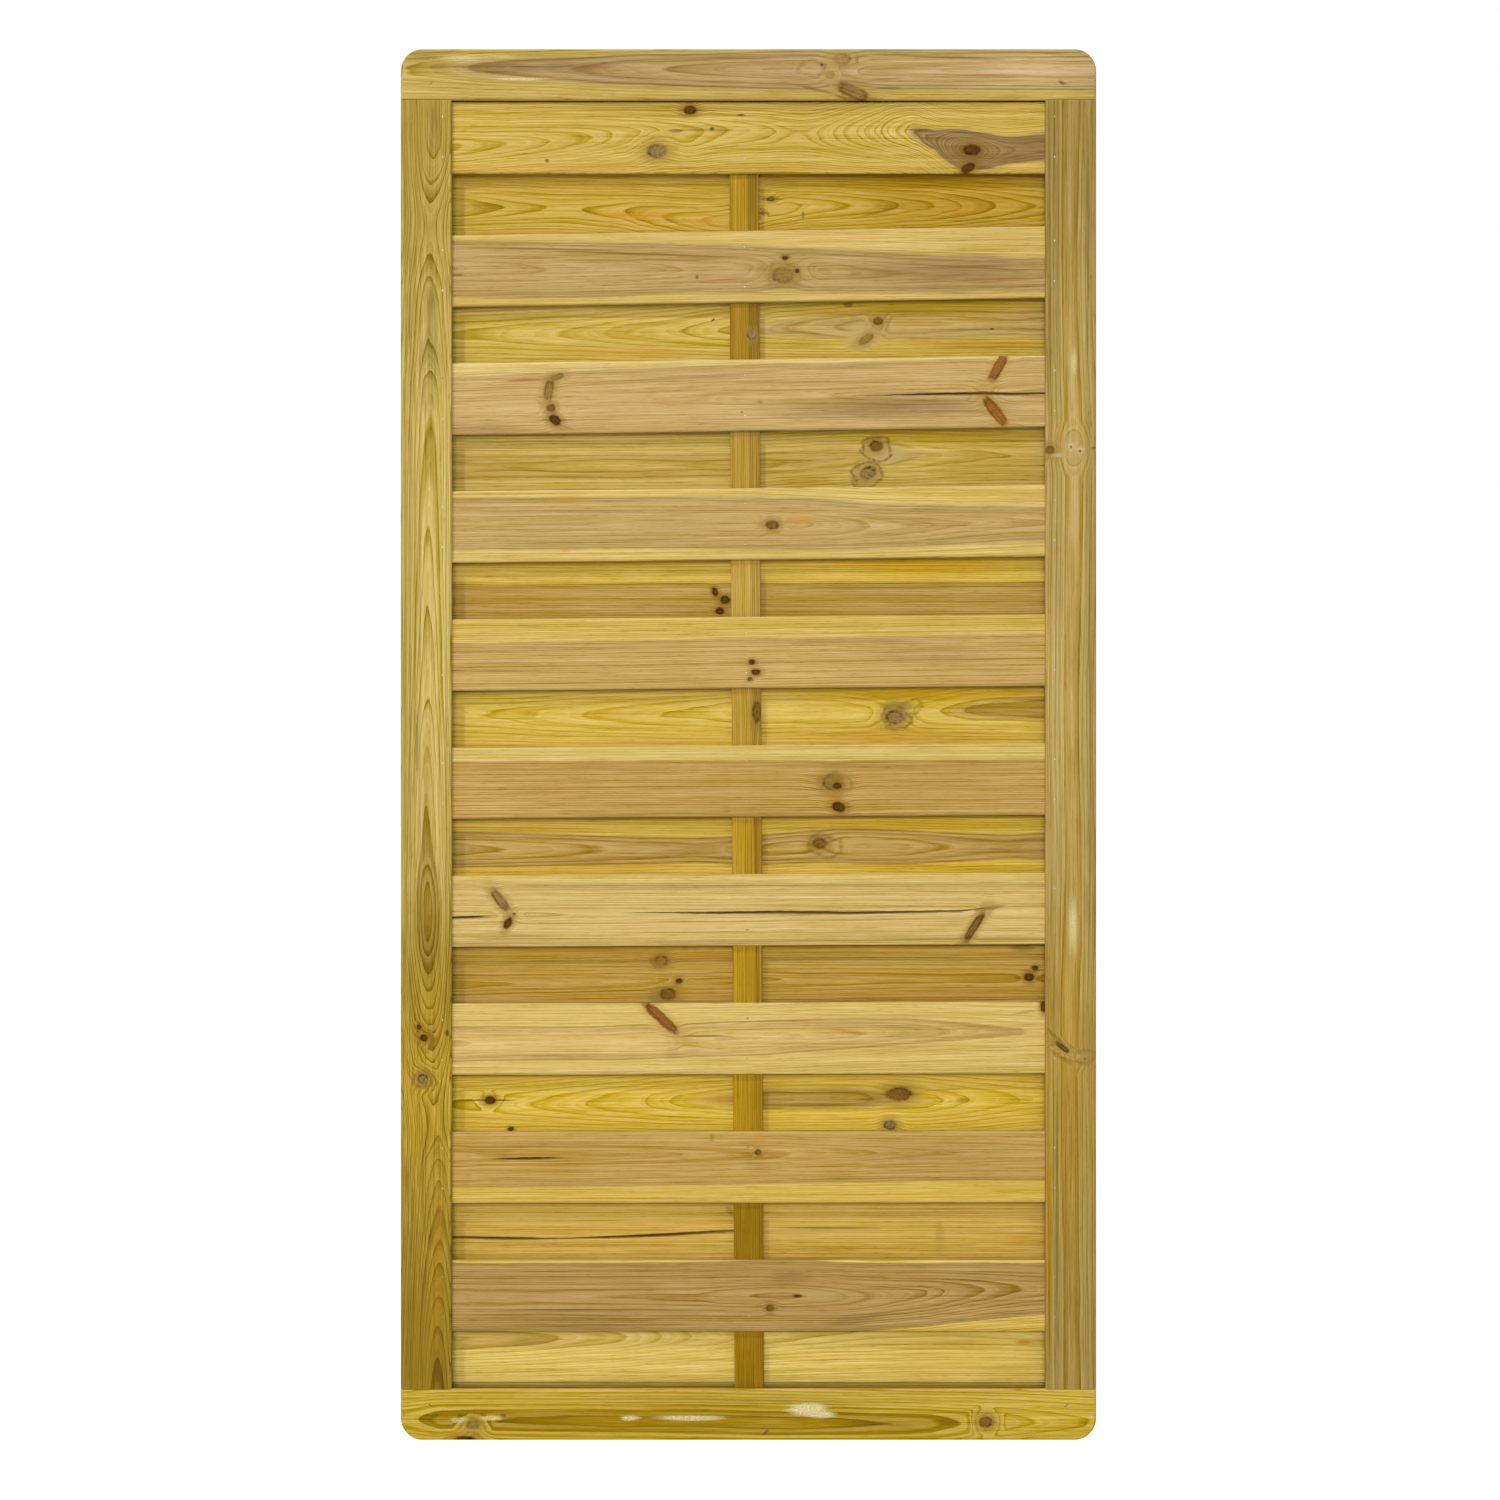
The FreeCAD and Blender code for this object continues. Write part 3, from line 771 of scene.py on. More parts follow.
FRAME_TIMBERS = {
    "top_rail": Timber(
        sap=(192, 164, 83),
        heart=(179, 149, 91),
        pith=[(401, 70, 47), (472, 69, 44), (600, 70, 40.6), (760, 70, 37.5), (1096, 69, 35)],
        heart_radius=44,
        knots=[
            Knot((842, 59), (18, 12), "faint", bulge=2),
            Knot((830, 75), (9, 8), "faint", bulge=2),
            Knot((853, 92), (32, 13), "tan", -24, bulge=2.5),
        ],
        marks=[
            Mark((428, 62), (80, 30), "damp", 0.35),
            Mark((460, 58), (64, 9), "scuff", 0.65),
            Mark((500, 57), (60, 6), "scuff", 0.45),
            Mark((520, 79), (80, 5), "scuff", 0.7),
            Mark((570, 64), (220, 26), "shade", 0.4),
            Mark((430, 54), (110, 16), "dull", 0.7),
            Mark((505, 68), (80, 16), "shade", 0.6),
            Mark((594, 67), (44, 10), "red", 0.5),
            Mark((640, 74), (60, 5), "red", 0.3),
            Mark((832, 76), (26, 20), "halo", 0.8),
            Mark((812, 68), (27, 15), "swirl", 0.4),
            Mark((822, 65), (5, 4), "crack", 0.8),
            Mark((857, 59), (5, 13), "line", 0.6),
            Mark((818, 90), (64, 5), "line", 0.6, -13),
            Mark((842, 97), (26, 4), "crack", 0.7, -12),
            Mark((864, 93), (16, 6), "crack", 0.85, -52),
            Mark((886, 88), (46, 3), "line", 0.7, 2),
            Mark((884, 79), (50, 3), "line", 0.5, 3),
            Mark((850, 82), (70, 40), "shade", 0.25, -25),
            Mark((960, 70), (420, 90), "pale", 1.0),
            Mark((950, 56), (420, 18), "pale", 0.8),
            Mark((940, 57), (170, 4), "line", 0.6, -2),
            Mark((1010, 52), (140, 3), "line", 0.4),
            Mark((985, 75), (60, 3), "red", 0.5),
            Mark((700, 60), (240, 3), "line", 0.5, 2),
            Mark((640, 84), (240, 3), "line", 0.5, -2),
            Mark((1062, 83), (10, 5), "crack", 0.7, -30),
            Mark((1050, 74), (160, 80), "pale", 1.0),
        ],
    ),
    "bottom_rail": Timber(
        sap=(204, 173, 69),
        heart=(180, 146, 42),
        pith=[
            (401, 1420, 33), (440, 1420, 29), (700, 1422, 27), (930, 1424, 29), (986, 1422, 34),
            (1096, 1422, 40),
        ],
        heart_radius=30,
        ring=3.0,
        contrast=1.3,
        knots=[
            Knot((473, 1425), (14, 9), "olive", bulge=7),
            Knot((465, 1441), (20, 9), "dark", bulge=4),
            Knot((986, 1422), (14, 11), "brown", bulge=9),
        ],
        marks=[
            Mark((748, 1400), (420, 22), "damp", 0.45),
            Mark((460, 1420), (24, 7), "resin", 0.7),
            Mark((492, 1418), (34, 6), "resin", 0.8),
            Mark((503, 1416), (9, 8), "crack", 0.5),
            Mark((630, 1418), (26, 7), "resin", 0.95),
            Mark((690, 1418), (86, 7), "resin", 0.9),
            Mark((806, 1409), (50, 16), "resin", 1.0),
            Mark((822, 1415), (38, 8), "resin", 1.0),
            Mark((985, 1422), (11, 9), "resin", 1.0),
            Mark((1050, 1412), (170, 70), "pale", 0.8),
            Mark((425, 1408), (90, 50), "pale", 0.5),
            Mark((766, 1432), (10, 4), "crack", 0.6, 40),
        ],
    ),
    "left_stile": Timber(
        sap=(207, 179, 98),
        heart=(182, 153, 72),
        pith=[
            (434, 99, 36), (434, 160, 38), (431, 220, 44), (430, 284, 40), (430, 379, 35), (428, 700, 27),
            (427, 860, 21), (428, 910, 18), (428, 960, 21), (430, 1030, 30), (433, 1100, 40), (438, 1163, 37),
            (438, 1390, 21),
        ],
        heart_radius=22,
        ring=2.2,
        contrast=1.45,
        knots=[
            Knot((423, 1079), (11, 11), "grey", bulge=5),
            Knot((424, 1038), (8, 7), "dark"),
            Knot((419, 1027), (5, 5), "dark", bulge=1),
        ],
        marks=[
            *[Mark((x, 620), (2.6, 1300), "line", 0.3) for x in (405, 410, 415, 420, 446)],
            Mark((403, 600), (44, 1200), "damp", 0.28),
            Mark((410, 100), (170, 800), "damp", 0.72),
            Mark((430, 345), (30, 220), "dull", 0.9),
            Mark((434, 985), (150, 260), "damp", 0.7),
            Mark((426, 1080), (200, 420), "gold", 0.75),
            Mark((423, 1079), (17, 17), "swirl", 0.6),
            Mark((424, 1040), (16, 20), "swirl", 0.5),
            Mark((447, 1033), (6, 9), "crack", 0.7),
            Mark((434, 122), (19, 84), "shade", 0.55),
            Mark((431, 300), (12, 40), "shade", 0.4),
            Mark((426, 1350), (260, 720), "damp", 1.0),
            Mark((426, 1300), (260, 600), "gold", 0.3),
            Mark((438, 1270), (20, 260), "stain", 0.2),
            Mark((417, 740), (4, 90), "line", 0.5),
        ],
    ),
    "right_stile": Timber(
        sap=(184, 154, 85),
        heart=(189, 159, 87),
        pith=[
            (1071, 99, 36), (1070, 300, 36.4), (1074, 448, 36.2), (1071, 700, 36.6), (1073, 900, 36.3),
            (1070, 1050, 36.2), (1072, 1390, 36.4),
        ],
        heart_radius=42,
        ring=2.8,
        contrast=0.9,
        knots=[
            Knot((1050, 450), (9, 9), "brown", bulge=4),
            Knot((1075, 448), (26, 18), "ghost", bulge=-4),
            Knot((1062, 1047), (17, 5), "brown", -38, bulge=5),
            Knot((1085, 1059), (10, 10), "ghost", bulge=-2),
        ],
        marks=[
            Mark((1061, 438), (8, 36), "stain", 0.5, 6),
            Mark((1071, 446), (14, 15), "scuff", 0.65),
            Mark((1081, 450), (11, 12), "scuff", 0.6),
            Mark((1056, 455), (20, 6), "scuff", 0.7),
            Mark((1071, 447), (4, 5), "crack", 0.95),
            Mark((1080, 451), (4, 4), "crack", 0.9),
            Mark((1094, 448), (10, 5), "line", 0.7, 10),
            Mark((1066, 1050), (50, 12), "scuff", 0.55, -38),
            Mark((1057, 1038), (34, 6), "line", 0.5, -44),
            Mark((1062, 1058), (36, 6), "line", 0.4, -34),
            Mark((1086, 1058), (20, 22), "olive", 0.5),
            Mark((1085, 1057), (18, 15), "swirl", 0.5),
            Mark((1085, 1059), (4, 4), "crack", 0.85),
            Mark((1084, 1032), (22, 70), "olive", 0.35),
            Mark((1074, 362), (8, 40), "scuff", 0.6),
            Mark((1073, 925), (13, 80), "scuff", 0.8),
            Mark((1050, 260), (3, 330), "line", 0.5, 0.3),
            Mark((1056, 640), (3, 420), "line", 0.4, -0.4),
            Mark((1088, 250), (3.4, 330), "line", 0.55, -0.2),
            Mark((1090, 720), (3, 560), "line", 0.45, 0.2),
            Mark((1093, 700), (24, 1500), "shade", 0.2),
            Mark((1060, 130), (200, 520), "dull", 0.95),
            Mark((1050, 340), (24, 200), "dull", 0.5),
            Mark((1050, 665), (34, 280), "pale", 1.0),
            Mark((1062, 740), (40, 420), "pale", 0.6),
            Mark((1060, 1080), (200, 480), "gold", 0.5),
            Mark((1050, 985), (30, 200), "damp", 0.3),
            Mark((1074, 1350), (260, 680), "damp", 0.3),
            Mark((1049, 1240), (12, 330), "gold", 0.9),
            Mark((1057, 1225), (4, 340), "line", 0.6),
        ],
    ),
    "centre_batten": Timber(
        sap=(192, 157, 68),
        heart=(182, 147, 66),
        pith=[(795, 99, 20), (809, 1390, 20)],
        heart_radius=65,
        knots=[Knot((752, 335), (10, 9), "grey", bulge=2), Knot((757, 712), (10, 22), "brown", bulge=3)],
        marks=[
            *[Mark((748, y), (400, 200), "damp", damp) for y, damp, _ in BATTEN_GAPS],
            *[Mark((748, y), (400, 200), "gold", gold) for y, _, gold in BATTEN_GAPS],
            *[Mark((x, y), (18, 140), "shade", dark) for x, y, dark in BATTEN_DARK_SIDE],
        ],
    ),
}

# Knot palettes as core, rim and halo colours, with how strongly the core and the halo cover the grain
KNOTS = {
    "brown": ((128, 92, 26), (72, 44, 2), (150, 114, 44), 0.95, 0.5),
    "dark": ((96, 60, 8), (50, 28, 0), (136, 98, 26), 1.0, 0.55),
    "grey": ((152, 124, 68), (84, 58, 16), (152, 120, 46), 1.0, 0.5),
    "olive": ((148, 116, 42), (92, 66, 10), (156, 126, 52), 0.85, 0.5),
    "red": ((158, 100, 34), (104, 58, 12), (180, 138, 58), 0.95, 0.35),
    "tan": ((152, 114, 60), (98, 68, 18), (164, 132, 64), 0.9, 0.45),
    "faint": ((164, 126, 74), (118, 84, 36), (168, 138, 74), 0.75, 0.4),
    "ghost": ((184, 160, 96), (150, 122, 62), (168, 140, 72), 0.3, 0.3),
}

# Where a knot's core, rim, edge and halo end, and where its push on the rings fades, in its half sizes
KNOT_CORE = 0.45
KNOT_RIM = 0.85
KNOT_EDGE = 1.25
KNOT_REACH = 2.4
BULGE_NEAR = 0.6
BULGE_FAR = 3.4

# The rim's colour in the middle and at the edge of a knot, as a share
MIDDLE_DARK = 0.3
EDGE_DARK = 0.3

# A knot this many times as long as wide is a spike, with an outline squarer than an ellipse
SPIKE_SHAPE = 2.2
SPIKE_POWER = 3.0

# A knot's end cracks: width in photo pixels and strength
CRACK_WIDTH = 3.0
CRACK_STRENGTH = 0.75

# Marks that cover the grain: colour, the share of the radius over which it fades, whether it is speckled
MARKS = {
    "crack": ((70, 48, 12), 0.7, False),
    "line": ((116, 90, 32), 0.7, False),
    "stain": ((200, 142, 36), 0.9, False),
    "red": ((168, 96, 56), 0.8, False),
    "scuff": ((232, 216, 160), 0.9, True),
    "resin": ((232, 218, 160), 0.6, True),
    "olive": ((156, 130, 66), 0.6, False),
    "halo": ((190, 164, 96), 0.5, False),
}

# The dark line round the edge of a swirl, and its width in photo pixels
SWIRL_LINE = (112, 84, 24)
SWIRL_WIDTH = 3.0

# Marks that multiply the grain's colour: the share of red, green and blue that they leave. Most are the
# wood's own tone; some shade and gold marks are painted shadow and the warm light bounced into it, and a pale
# one a painted highlight
DYES = {
    "shade": (0.60, 0.56, 0.56),
    "dull": (0.72, 0.72, 0.62),
    "amber": (0.82, 0.70, 0.36),
    "damp": (0.55, 0.49, 0.16),
    "gold": (0.94, 0.85, 0.15),
    "pale": (1.14, 1.17, 1.26),
}
DYE_FADE_FROM = 0.1

# Half the depth of a knot or mark, in metres, so that it goes right through the timber
THROUGH = 1000.0

# The painted shadow under a front board: the share of colour it leaves, its reach up and down and its depth
# in mm
PAINTED_SEAM_SHADE_DYE = (0.22, 0.20, 0.16)
PAINTED_SEAM_SHADE_REACH = 8.0
PAINTED_SEAM_SHADE_DEPTH = 2.0


def linear(colour):
    """An sRGB colour in bytes as the linear colour that a socket takes."""
    shares = [byte / 255 for byte in colour]
    return [s / 12.92 if s <= 0.04045 else ((s + 0.055) / 1.055) ** 2.4 for s in shares] + [1.0]


def smooth(value, start, end):
    """0 before start, 1 after end, with an easy change between."""
    share = min(max((value - start) / (end - start), 0.0), 1.0)
    return share * share * (3 - 2 * share)


# Photograph to panel
PANEL_WIDTH = CAD_BOX[1].x - CAD_BOX[0].x
PANEL_HEIGHT = CAD_BOX[1].z - CAD_BOX[0].z
PANEL_FRONT = CAD_BOX[0].y
PHOTO_MIDDLE_X = (PANEL_LEFT_PX + PANEL_RIGHT_PX) / 2
PHOTO_MIDDLE_Y = (PANEL_TOP_PX + PANEL_BOTTOM_PX) / 2
PIXEL_WIDTH = PANEL_WIDTH / (PANEL_RIGHT_PX - PANEL_LEFT_PX)
PIXEL_HEIGHT = PANEL_HEIGHT / (PANEL_BOTTOM_PX - PANEL_TOP_PX)
PIXEL = (PIXEL_WIDTH + PIXEL_HEIGHT) / 2


def from_photo(x, y, depth):
    """The point on the panel behind a photo pixel, on the plane that lies depth behind the panel's front."""
    spread = PIXEL * (1 + depth / CAMERA_DISTANCE)
    across = (x - PHOTO_MIDDLE_X) * spread
    height = PANEL_HEIGHT / 2 + (PHOTO_MIDDLE_Y - y) * spread
    return Vector((across, PANEL_FRONT + depth, height))


class Piece:
    """Where a timber lies: its middle, lengths, turn (anticlockwise from the front) and visible face."""

    def __init__(self, node):
        self.node = node
        self.points = [vertex.co.copy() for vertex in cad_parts[node].data.vertices]
        self.low, self.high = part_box(node)
        self.middle = (self.low + self.high) / 2
        self.upright = self.high.z - self.low.z > self.high.x - self.low.x
        self.grain_axis, self.cross_axis = (2, 0) if self.upright else (0, 2)
        self.length = self.high[self.grain_axis] - self.low[self.grain_axis]
        self.turn = self.end_to_end() / self.length * (-1 if self.upright else 1)
        self.width = self.high[self.cross_axis] - self.low[self.cross_axis] - abs(self.turn) * self.length
        self.thickness = self.high.y - self.low.y
        self.depth = self.low.y - PANEL_FRONT

    def end_to_end(self):
        """How far the timber's last end lies across from its first."""
        first = self.low[self.grain_axis] + self.length * END_SHARE
        last = self.high[self.grain_axis] - self.length * END_SHARE
        starts = [p[self.cross_axis] for p in self.points if p[self.grain_axis] < first]
        finishes = [p[self.cross_axis] for p in self.points if p[self.grain_axis] > last]
        return sum(finishes) / len(finishes) - sum(starts) / len(starts)

    def place(self):
        """The matrix from the timber's own frame to the panel's."""
        return Matrix.Translation(self.middle) @ Matrix.Rotation(-self.turn, 4, "Y")

    def inside(self, x, y):
        """A photo pixel in the timber's own frame, in metres, as along the grain and across it."""
        point = self.place().inverted() @ from_photo(x, y, self.depth)
        return point[self.grain_axis], point[self.cross_axis]


class Tree:
    """A material's nodes, with short ways to add the ones that the finishes use."""

    def __init__(self, name):
        self.material = bpy.data.materials.new(name)
        self.material.use_nodes = True
        self.nodes = self.material.node_tree.nodes
        self.links = self.material.node_tree.links
        self.nodes.clear()
        self.coordinate = self.add("ShaderNodeTexCoord").outputs["Object"]

    def add(self, kind, **settings):
        node = self.nodes.new(kind)
        for name, value in settings.items():
            setattr(node, name, value)
        return node

    def feed(self, socket, value):
        """Links an output to the socket, or sets the socket's own value."""
        if isinstance(value, bpy.types.NodeSocket):
            self.links.new(value, socket)
        else:
            socket.default_value = value

    def math(self, operation, *values):
        node = self.add("ShaderNodeMath", operation=operation)
        for socket, value in zip(node.inputs, values):
            self.feed(socket, value)
        return node.outputs[0]

    def total(self, *values):
        result = values[0]
        for value in values[1:]:
            result = self.math("ADD", result, value)
        return result

    def swing(self, value, size):
        """A 0 to 1 value as a swing about zero, size from end to end."""
        return self.math("MULTIPLY_ADD", value, size, -size / 2)

    def mapping(self, vector, kind, location=(0, 0, 0), rotation=(0, 0, 0), scale=(1, 1, 1)):
        node = self.add("ShaderNodeMapping", vector_type=kind)
        self.feed(node.inputs["Vector"], vector)
        node.inputs["Location"].default_value = location
        node.inputs["Rotation"].default_value = rotation
        node.inputs["Scale"].default_value = scale
        return node.outputs[0]

    def separate(self, vector):
        node = self.add("ShaderNodeSeparateXYZ")
        self.feed(node.inputs[0], vector)
        return node.outputs

    def combine(self, x, y, z):
        node = self.add("ShaderNodeCombineXYZ")
        for socket, value in zip(node.inputs, (x, y, z)):
            self.feed(socket, value)
        return node.outputs[0]

    def length(self, vector):
        node = self.add("ShaderNodeVectorMath", operation="LENGTH")
        self.feed(node.inputs[0], vector)
        return node.outputs["Value"]

    def noise(self, vector, pattern, seed=0):
        """A pattern's noise from 0 to 1, with the grain along the vector's first axis."""
        shift = [(seed + pattern.number) * step for step in SEED_STEP]
        scale = (1 / pattern.along, 1 / pattern.across, 1 / pattern.across)
        placed = self.mapping(vector, "POINT", shift, scale=scale)
        node = self.add("ShaderNodeTexNoise", noise_dimensions="3D")
        self.feed(node.inputs["Vector"], placed)
        node.inputs["Scale"].default_value = 1.0
        node.inputs["Detail"].default_value = pattern.detail
        return node.outputs[0]

    def ramp(self, value, stops, interpolation="LINEAR"):
        """A colour ramp through (position, RGBA) stops; returns its colour and alpha."""
        node = self.add("ShaderNodeValToRGB")
        self.feed(node.inputs[0], value)
        node.color_ramp.interpolation = interpolation
        elements = node.color_ramp.elements
        while len(elements) < len(stops):
            elements.new(1.0)
        for element, (position, colour) in zip(elements, stops):
            element.position = position
            element.color = colour
        return node.outputs

    def range(self, value, start, end, low, high, interpolation="LINEAR"):
        node = self.add("ShaderNodeMapRange", interpolation_type=interpolation)
        for socket, number in zip(node.inputs, (value, start, end, low, high)):
            self.feed(socket, number)
        return node.outputs[0]

    def mix(self, share, first, second, blend="MIX"):
        node = self.add("ShaderNodeMix", data_type="RGBA", blend_type=blend)
        factor, first_colour, second_colour = node.inputs[0], node.inputs[6], node.inputs[7]
        self.feed(factor, share)
        self.feed(first_colour, first)
        self.feed(second_colour, second)
        return node.outputs[2]

    def finish(self, colour, roughness, height, bump_strength, bump_distance):
        """The surface shader with its bump; returns the shader node."""
        bump = self.add("ShaderNodeBump")
        bump.inputs["Strength"].default_value = bump_strength
        bump.inputs["Distance"].default_value = bump_distance
        self.feed(bump.inputs["Height"], height)
        shader = self.add("ShaderNodeBsdfPrincipled")
        self.feed(shader.inputs["Base Color"], colour)
        self.feed(shader.inputs["Roughness"], roughness)
        self.feed(shader.inputs["Normal"], bump.outputs[0])
        output = self.add("ShaderNodeOutputMaterial")
        self.links.new(shader.outputs[0], output.inputs[0])
        return shader


class Wood(Tree):
    """One timber's nodes: its millimetres along, into and across the grain, and the patterns it shares."""

    def __init__(self, piece, timber, seed):
        super().__init__("pine_" + piece.node)
        self.piece = piece
        self.timber = timber
        self.seed = seed
        face = Vector((piece.middle.x, piece.low.y, piece.middle.z))
        x, self.into, z = self.separate(self.millimetres(piece, face))
        self.along, self.across = (z, x) if piece.upright else (x, z)
        self.grain = self.combine(self.along, self.into, self.across)
        self.comb = self.figure(COMBED)
        self.combed = self.swing(self.comb, COMBED_SWING)
        self.ragged = self.swing(self.figure(RAGGED), RAGGED_SWING)
        self.swirled = self.swing(self.figure(SWIRL), SWIRL_SWING)
        self.speckle = self.range(self.figure(SPECKLE), *SPECKLE_RANGE)
        self.patchy = self.range(self.figure(PATCHY), *PATCHY_RANGE)
        self.mottle = self.range(self.figure(MOTTLE), *MOTTLE_RANGE)

    def millimetres(self, piece, origin):
        """The frame of a timber, turned as it lies, in millimetres from an origin."""
        return self.mapping(self.coordinate, "TEXTURE", origin, (0, -piece.turn, 0), (MM, MM, MM))

    def figure(self, pattern):
        """A pattern's noise as this timber has it."""
        return self.noise(self.grain, pattern, self.seed)

    def patch(self, spot):
        """A knot's or mark's own frame, in half sizes, and the distance from its middle there."""
        middle = from_photo(*spot.at, self.piece.depth)
        half_wide, half_high = [side * PIXEL / 2 for side in spot.size]
        turn = (0, -math.radians(spot.turn), 0)
        own = self.mapping(self.coordinate, "TEXTURE", middle, turn, (half_wide, THROUGH, half_high))
        return own, self.length(own)


def pith_radius(wood):
    """Distance from the pith in millimetres; the pith wanders through the timber's pith points."""
    half = wood.piece.length / MM / 2
    stops = []
    for x, y, depth in wood.timber.pith:
        own_along, own_across = wood.piece.inside(x, y)
        share = min(max(own_along / MM / (2 * half) + 0.5, 0.0), 1.0)
        stops.append((share, (depth / PITH_SPAN, own_across / MM / PITH_SPAN + 0.5, 0.0, 1.0)))
    stops.sort(key=lambda stop: stop[0])
    colour, _ = wood.ramp(wood.range(wood.along, -half, half, 0.0, 1.0), stops, "CARDINAL")
    depth, middle, _ = wood.separate(colour)
    aside = wood.math("SUBTRACT", wood.across, wood.swing(middle, PITH_SPAN))
    under = wood.math("SUBTRACT", wood.math("MULTIPLY", depth, PITH_SPAN), wood.into)
    squares = wood.math("ADD", wood.math("MULTIPLY", aside, aside), wood.math("MULTIPLY", under, under))
    return wood.math("SQRT", squares)


def ring_radius(wood, knots):
    """Distance from the pith as the rings take it, with their waves and the push of each knot."""
    long_wave = wood.swing(wood.figure(LONG_WAVE), LONG_WAVE_HEIGHT)
    short_wave = wood.swing(wood.figure(SHORT_WAVE), SHORT_WAVE_HEIGHT)
    radius = wood.total(pith_radius(wood), long_wave, short_wave)
    for knot, _, distance in knots:
        push = wood.range(distance, BULGE_NEAR, BULGE_FAR, knot.bulge, 0.0, "SMOOTHSTEP")
        radius = wood.math("ADD", radius, push)
    return radius


def ring_pattern(wood, radius):
    """Late wood from 0 to 1 across each ring, and the finer lines between."""
    wander = wood.add("ShaderNodeTexNoise", noise_dimensions="1D")
    start = wood.seed * RING_WANDER_STEP
    wood.feed(wander.inputs["W"], wood.math("MULTIPLY_ADD", radius, 1 / RING_WANDER_LENGTH, start))
    count = wood.math("DIVIDE", radius, wood.timber.ring)
    rings = wood.math("MULTIPLY_ADD", wander.outputs[0], RING_WANDER, count)
    stops = [(place, (level, level, level, 1.0)) for place, level in LATE_WOOD]
    late, _ = wood.ramp(wood.math("FRACT", rings), stops)
    return late, wood.math("FRACT", wood.math("MULTIPLY", rings, FINE_RINGS))


def heart_and_sap(wood, radius):
    """The heart's colour inside its radius, two dark lines at its edge, and the sap's colour outside."""
    sap, heart = linear(wood.timber.sap), linear(wood.timber.heart)
    colours = {
        "heart": heart,
        "edge": [share * HEART_EDGE_SHADE for share in heart[:3]] + [1.0],
        "between": [(h + s) / 2 for h, s in zip(heart, sap)],
        "sap": sap,
    }
    combed_radius = wood.math("ADD", radius, wood.swing(wood.comb, HEART_COMB))
    inner = wood.timber.heart_radius - HEART_EDGE_REACH
    outer = wood.timber.heart_radius + HEART_EDGE_REACH
    stops = [(place, colours[name]) for place, name in HEART_TO_SAP]
    colour, _ = wood.ramp(wood.range(combed_radius, inner, outer, 0.0, 1.0), stops)
    return colour


def clear_wood(wood, radius, late, fine, fibre):
    """The colour of the wood between its knots and marks, with a painted highlight along the top edge of
    lying timbers.
    """
    blotch = wood.figure(BLOTCH)
    strength = wood.math("MULTIPLY", late, wood.range(blotch, *RING_STRENGTH_RANGE))
    value = wood.total(
        MEAN_VALUE,
        wood.math("MULTIPLY", strength, RING_VALUE * wood.timber.contrast),
        wood.math("MULTIPLY", fine, FINE_VALUE),
        wood.range(wood.figure(FLECK), *FLECK_RANGE),
        wood.range(wood.figure(HAIR), *HAIR_RANGE),
        wood.swing(wood.figure(STREAK), STREAK_VALUE),
        wood.swing(fibre, FIBRE_VALUE),
        wood.swing(blotch, BLOTCH_VALUE),
    )
    # painted highlight along the top edge, where light from above would catch it
    if not wood.piece.upright:
        top = wood.piece.width / MM / 2
        painted_highlight = wood.range(wood.across, top - TOP_EDGE_HIGHLIGHT_REACH, top, 0.0, TOP_EDGE_HIGHLIGHT, "SMOOTHSTEP")
        value = wood.math("ADD", value, painted_highlight)
    ring_hue = wood.math("MULTIPLY", strength, RING_HUE)
    tone = wood.add("ShaderNodeHueSaturation")
    wood.feed(tone.inputs["Hue"], wood.total(NEUTRAL_HUE, wood.swing(blotch, BLOTCH_HUE), ring_hue))
    saturation = wood.math("MULTIPLY_ADD", value, -DARK_SATURATION, 1 + DARK_SATURATION)
    wood.feed(tone.inputs["Saturation"], saturation)
    wood.feed(tone.inputs["Value"], value)
    wood.feed(tone.inputs["Color"], heart_and_sap(wood, radius))
    return tone.outputs[0]


def lay_mark(wood, colour, mark):
    """Lays a mark over the colour, or multiplies the colour by it as a dye, painted shade or painted light,
    fading towards its combed edge.
    """
    distance = wood.math("ADD", wood.patch(mark)[1], wood.combed)
    if mark.kind in DYES:
        cover = wood.range(distance, DYE_FADE_FROM, 1.0, mark.strength, 0.0, "SMOOTHSTEP")
        return wood.mix(cover, colour, DYES[mark.kind] + (1.0,), "MULTIPLY")
    tint, fade, speckled = MARKS[mark.kind]
    cover = wood.range(distance, 1.0 - fade, 1.0, mark.strength, 0.0, "SMOOTHSTEP")
    if speckled:
        cover = wood.math("MULTIPLY", cover, wood.speckle)
    return wood.mix(cover, colour, linear(tint))


def lay_swirl(wood, colour, mark):
    """Lays a broken dark line over the colour, round the wavy edge of a mark."""
    distance = wood.math("ADD", wood.patch(mark)[1], wood.swirled)
    from_edge = wood.math("ABSOLUTE", wood.math("SUBTRACT", distance, 1.0))
    line = wood.range(from_edge, 0.0, 2 * SWIRL_WIDTH / min(mark.size), mark.strength, 0.0, "SMOOTHSTEP")
    cover = wood.math("MULTIPLY", line, wood.range(wood.patchy, *SWIRL_BREAK_RANGE))
    return wood.mix(cover, colour, linear(SWIRL_LINE))


def lay_painted_seam_shade(wood, colour):
    """Paints a shadow line on a back board's face just under the lower edge of its front board."""
    front = Piece(wood.piece.node.replace("back", "front"))
    _, _, height = wood.separate(wood.millimetres(front, front.middle))
    below = wood.math("ADD", height, front.width / MM / 2)
    line = wood.range(wood.math("ABSOLUTE", below), 0.0, PAINTED_SEAM_SHADE_REACH, wood.timber.seam, 0.0, "SMOOTHSTEP")
    cover = wood.math("MULTIPLY", line, wood.range(wood.into, 0.0, PAINTED_SEAM_SHADE_DEPTH, 1.0, 0.0))
    return wood.mix(cover, colour, PAINTED_SEAM_SHADE_DYE + (1.0,), "MULTIPLY")


def is_spike(knot):
    """Whether a knot was cut along its length."""
    return max(knot.size) > SPIKE_SHAPE * min(knot.size)


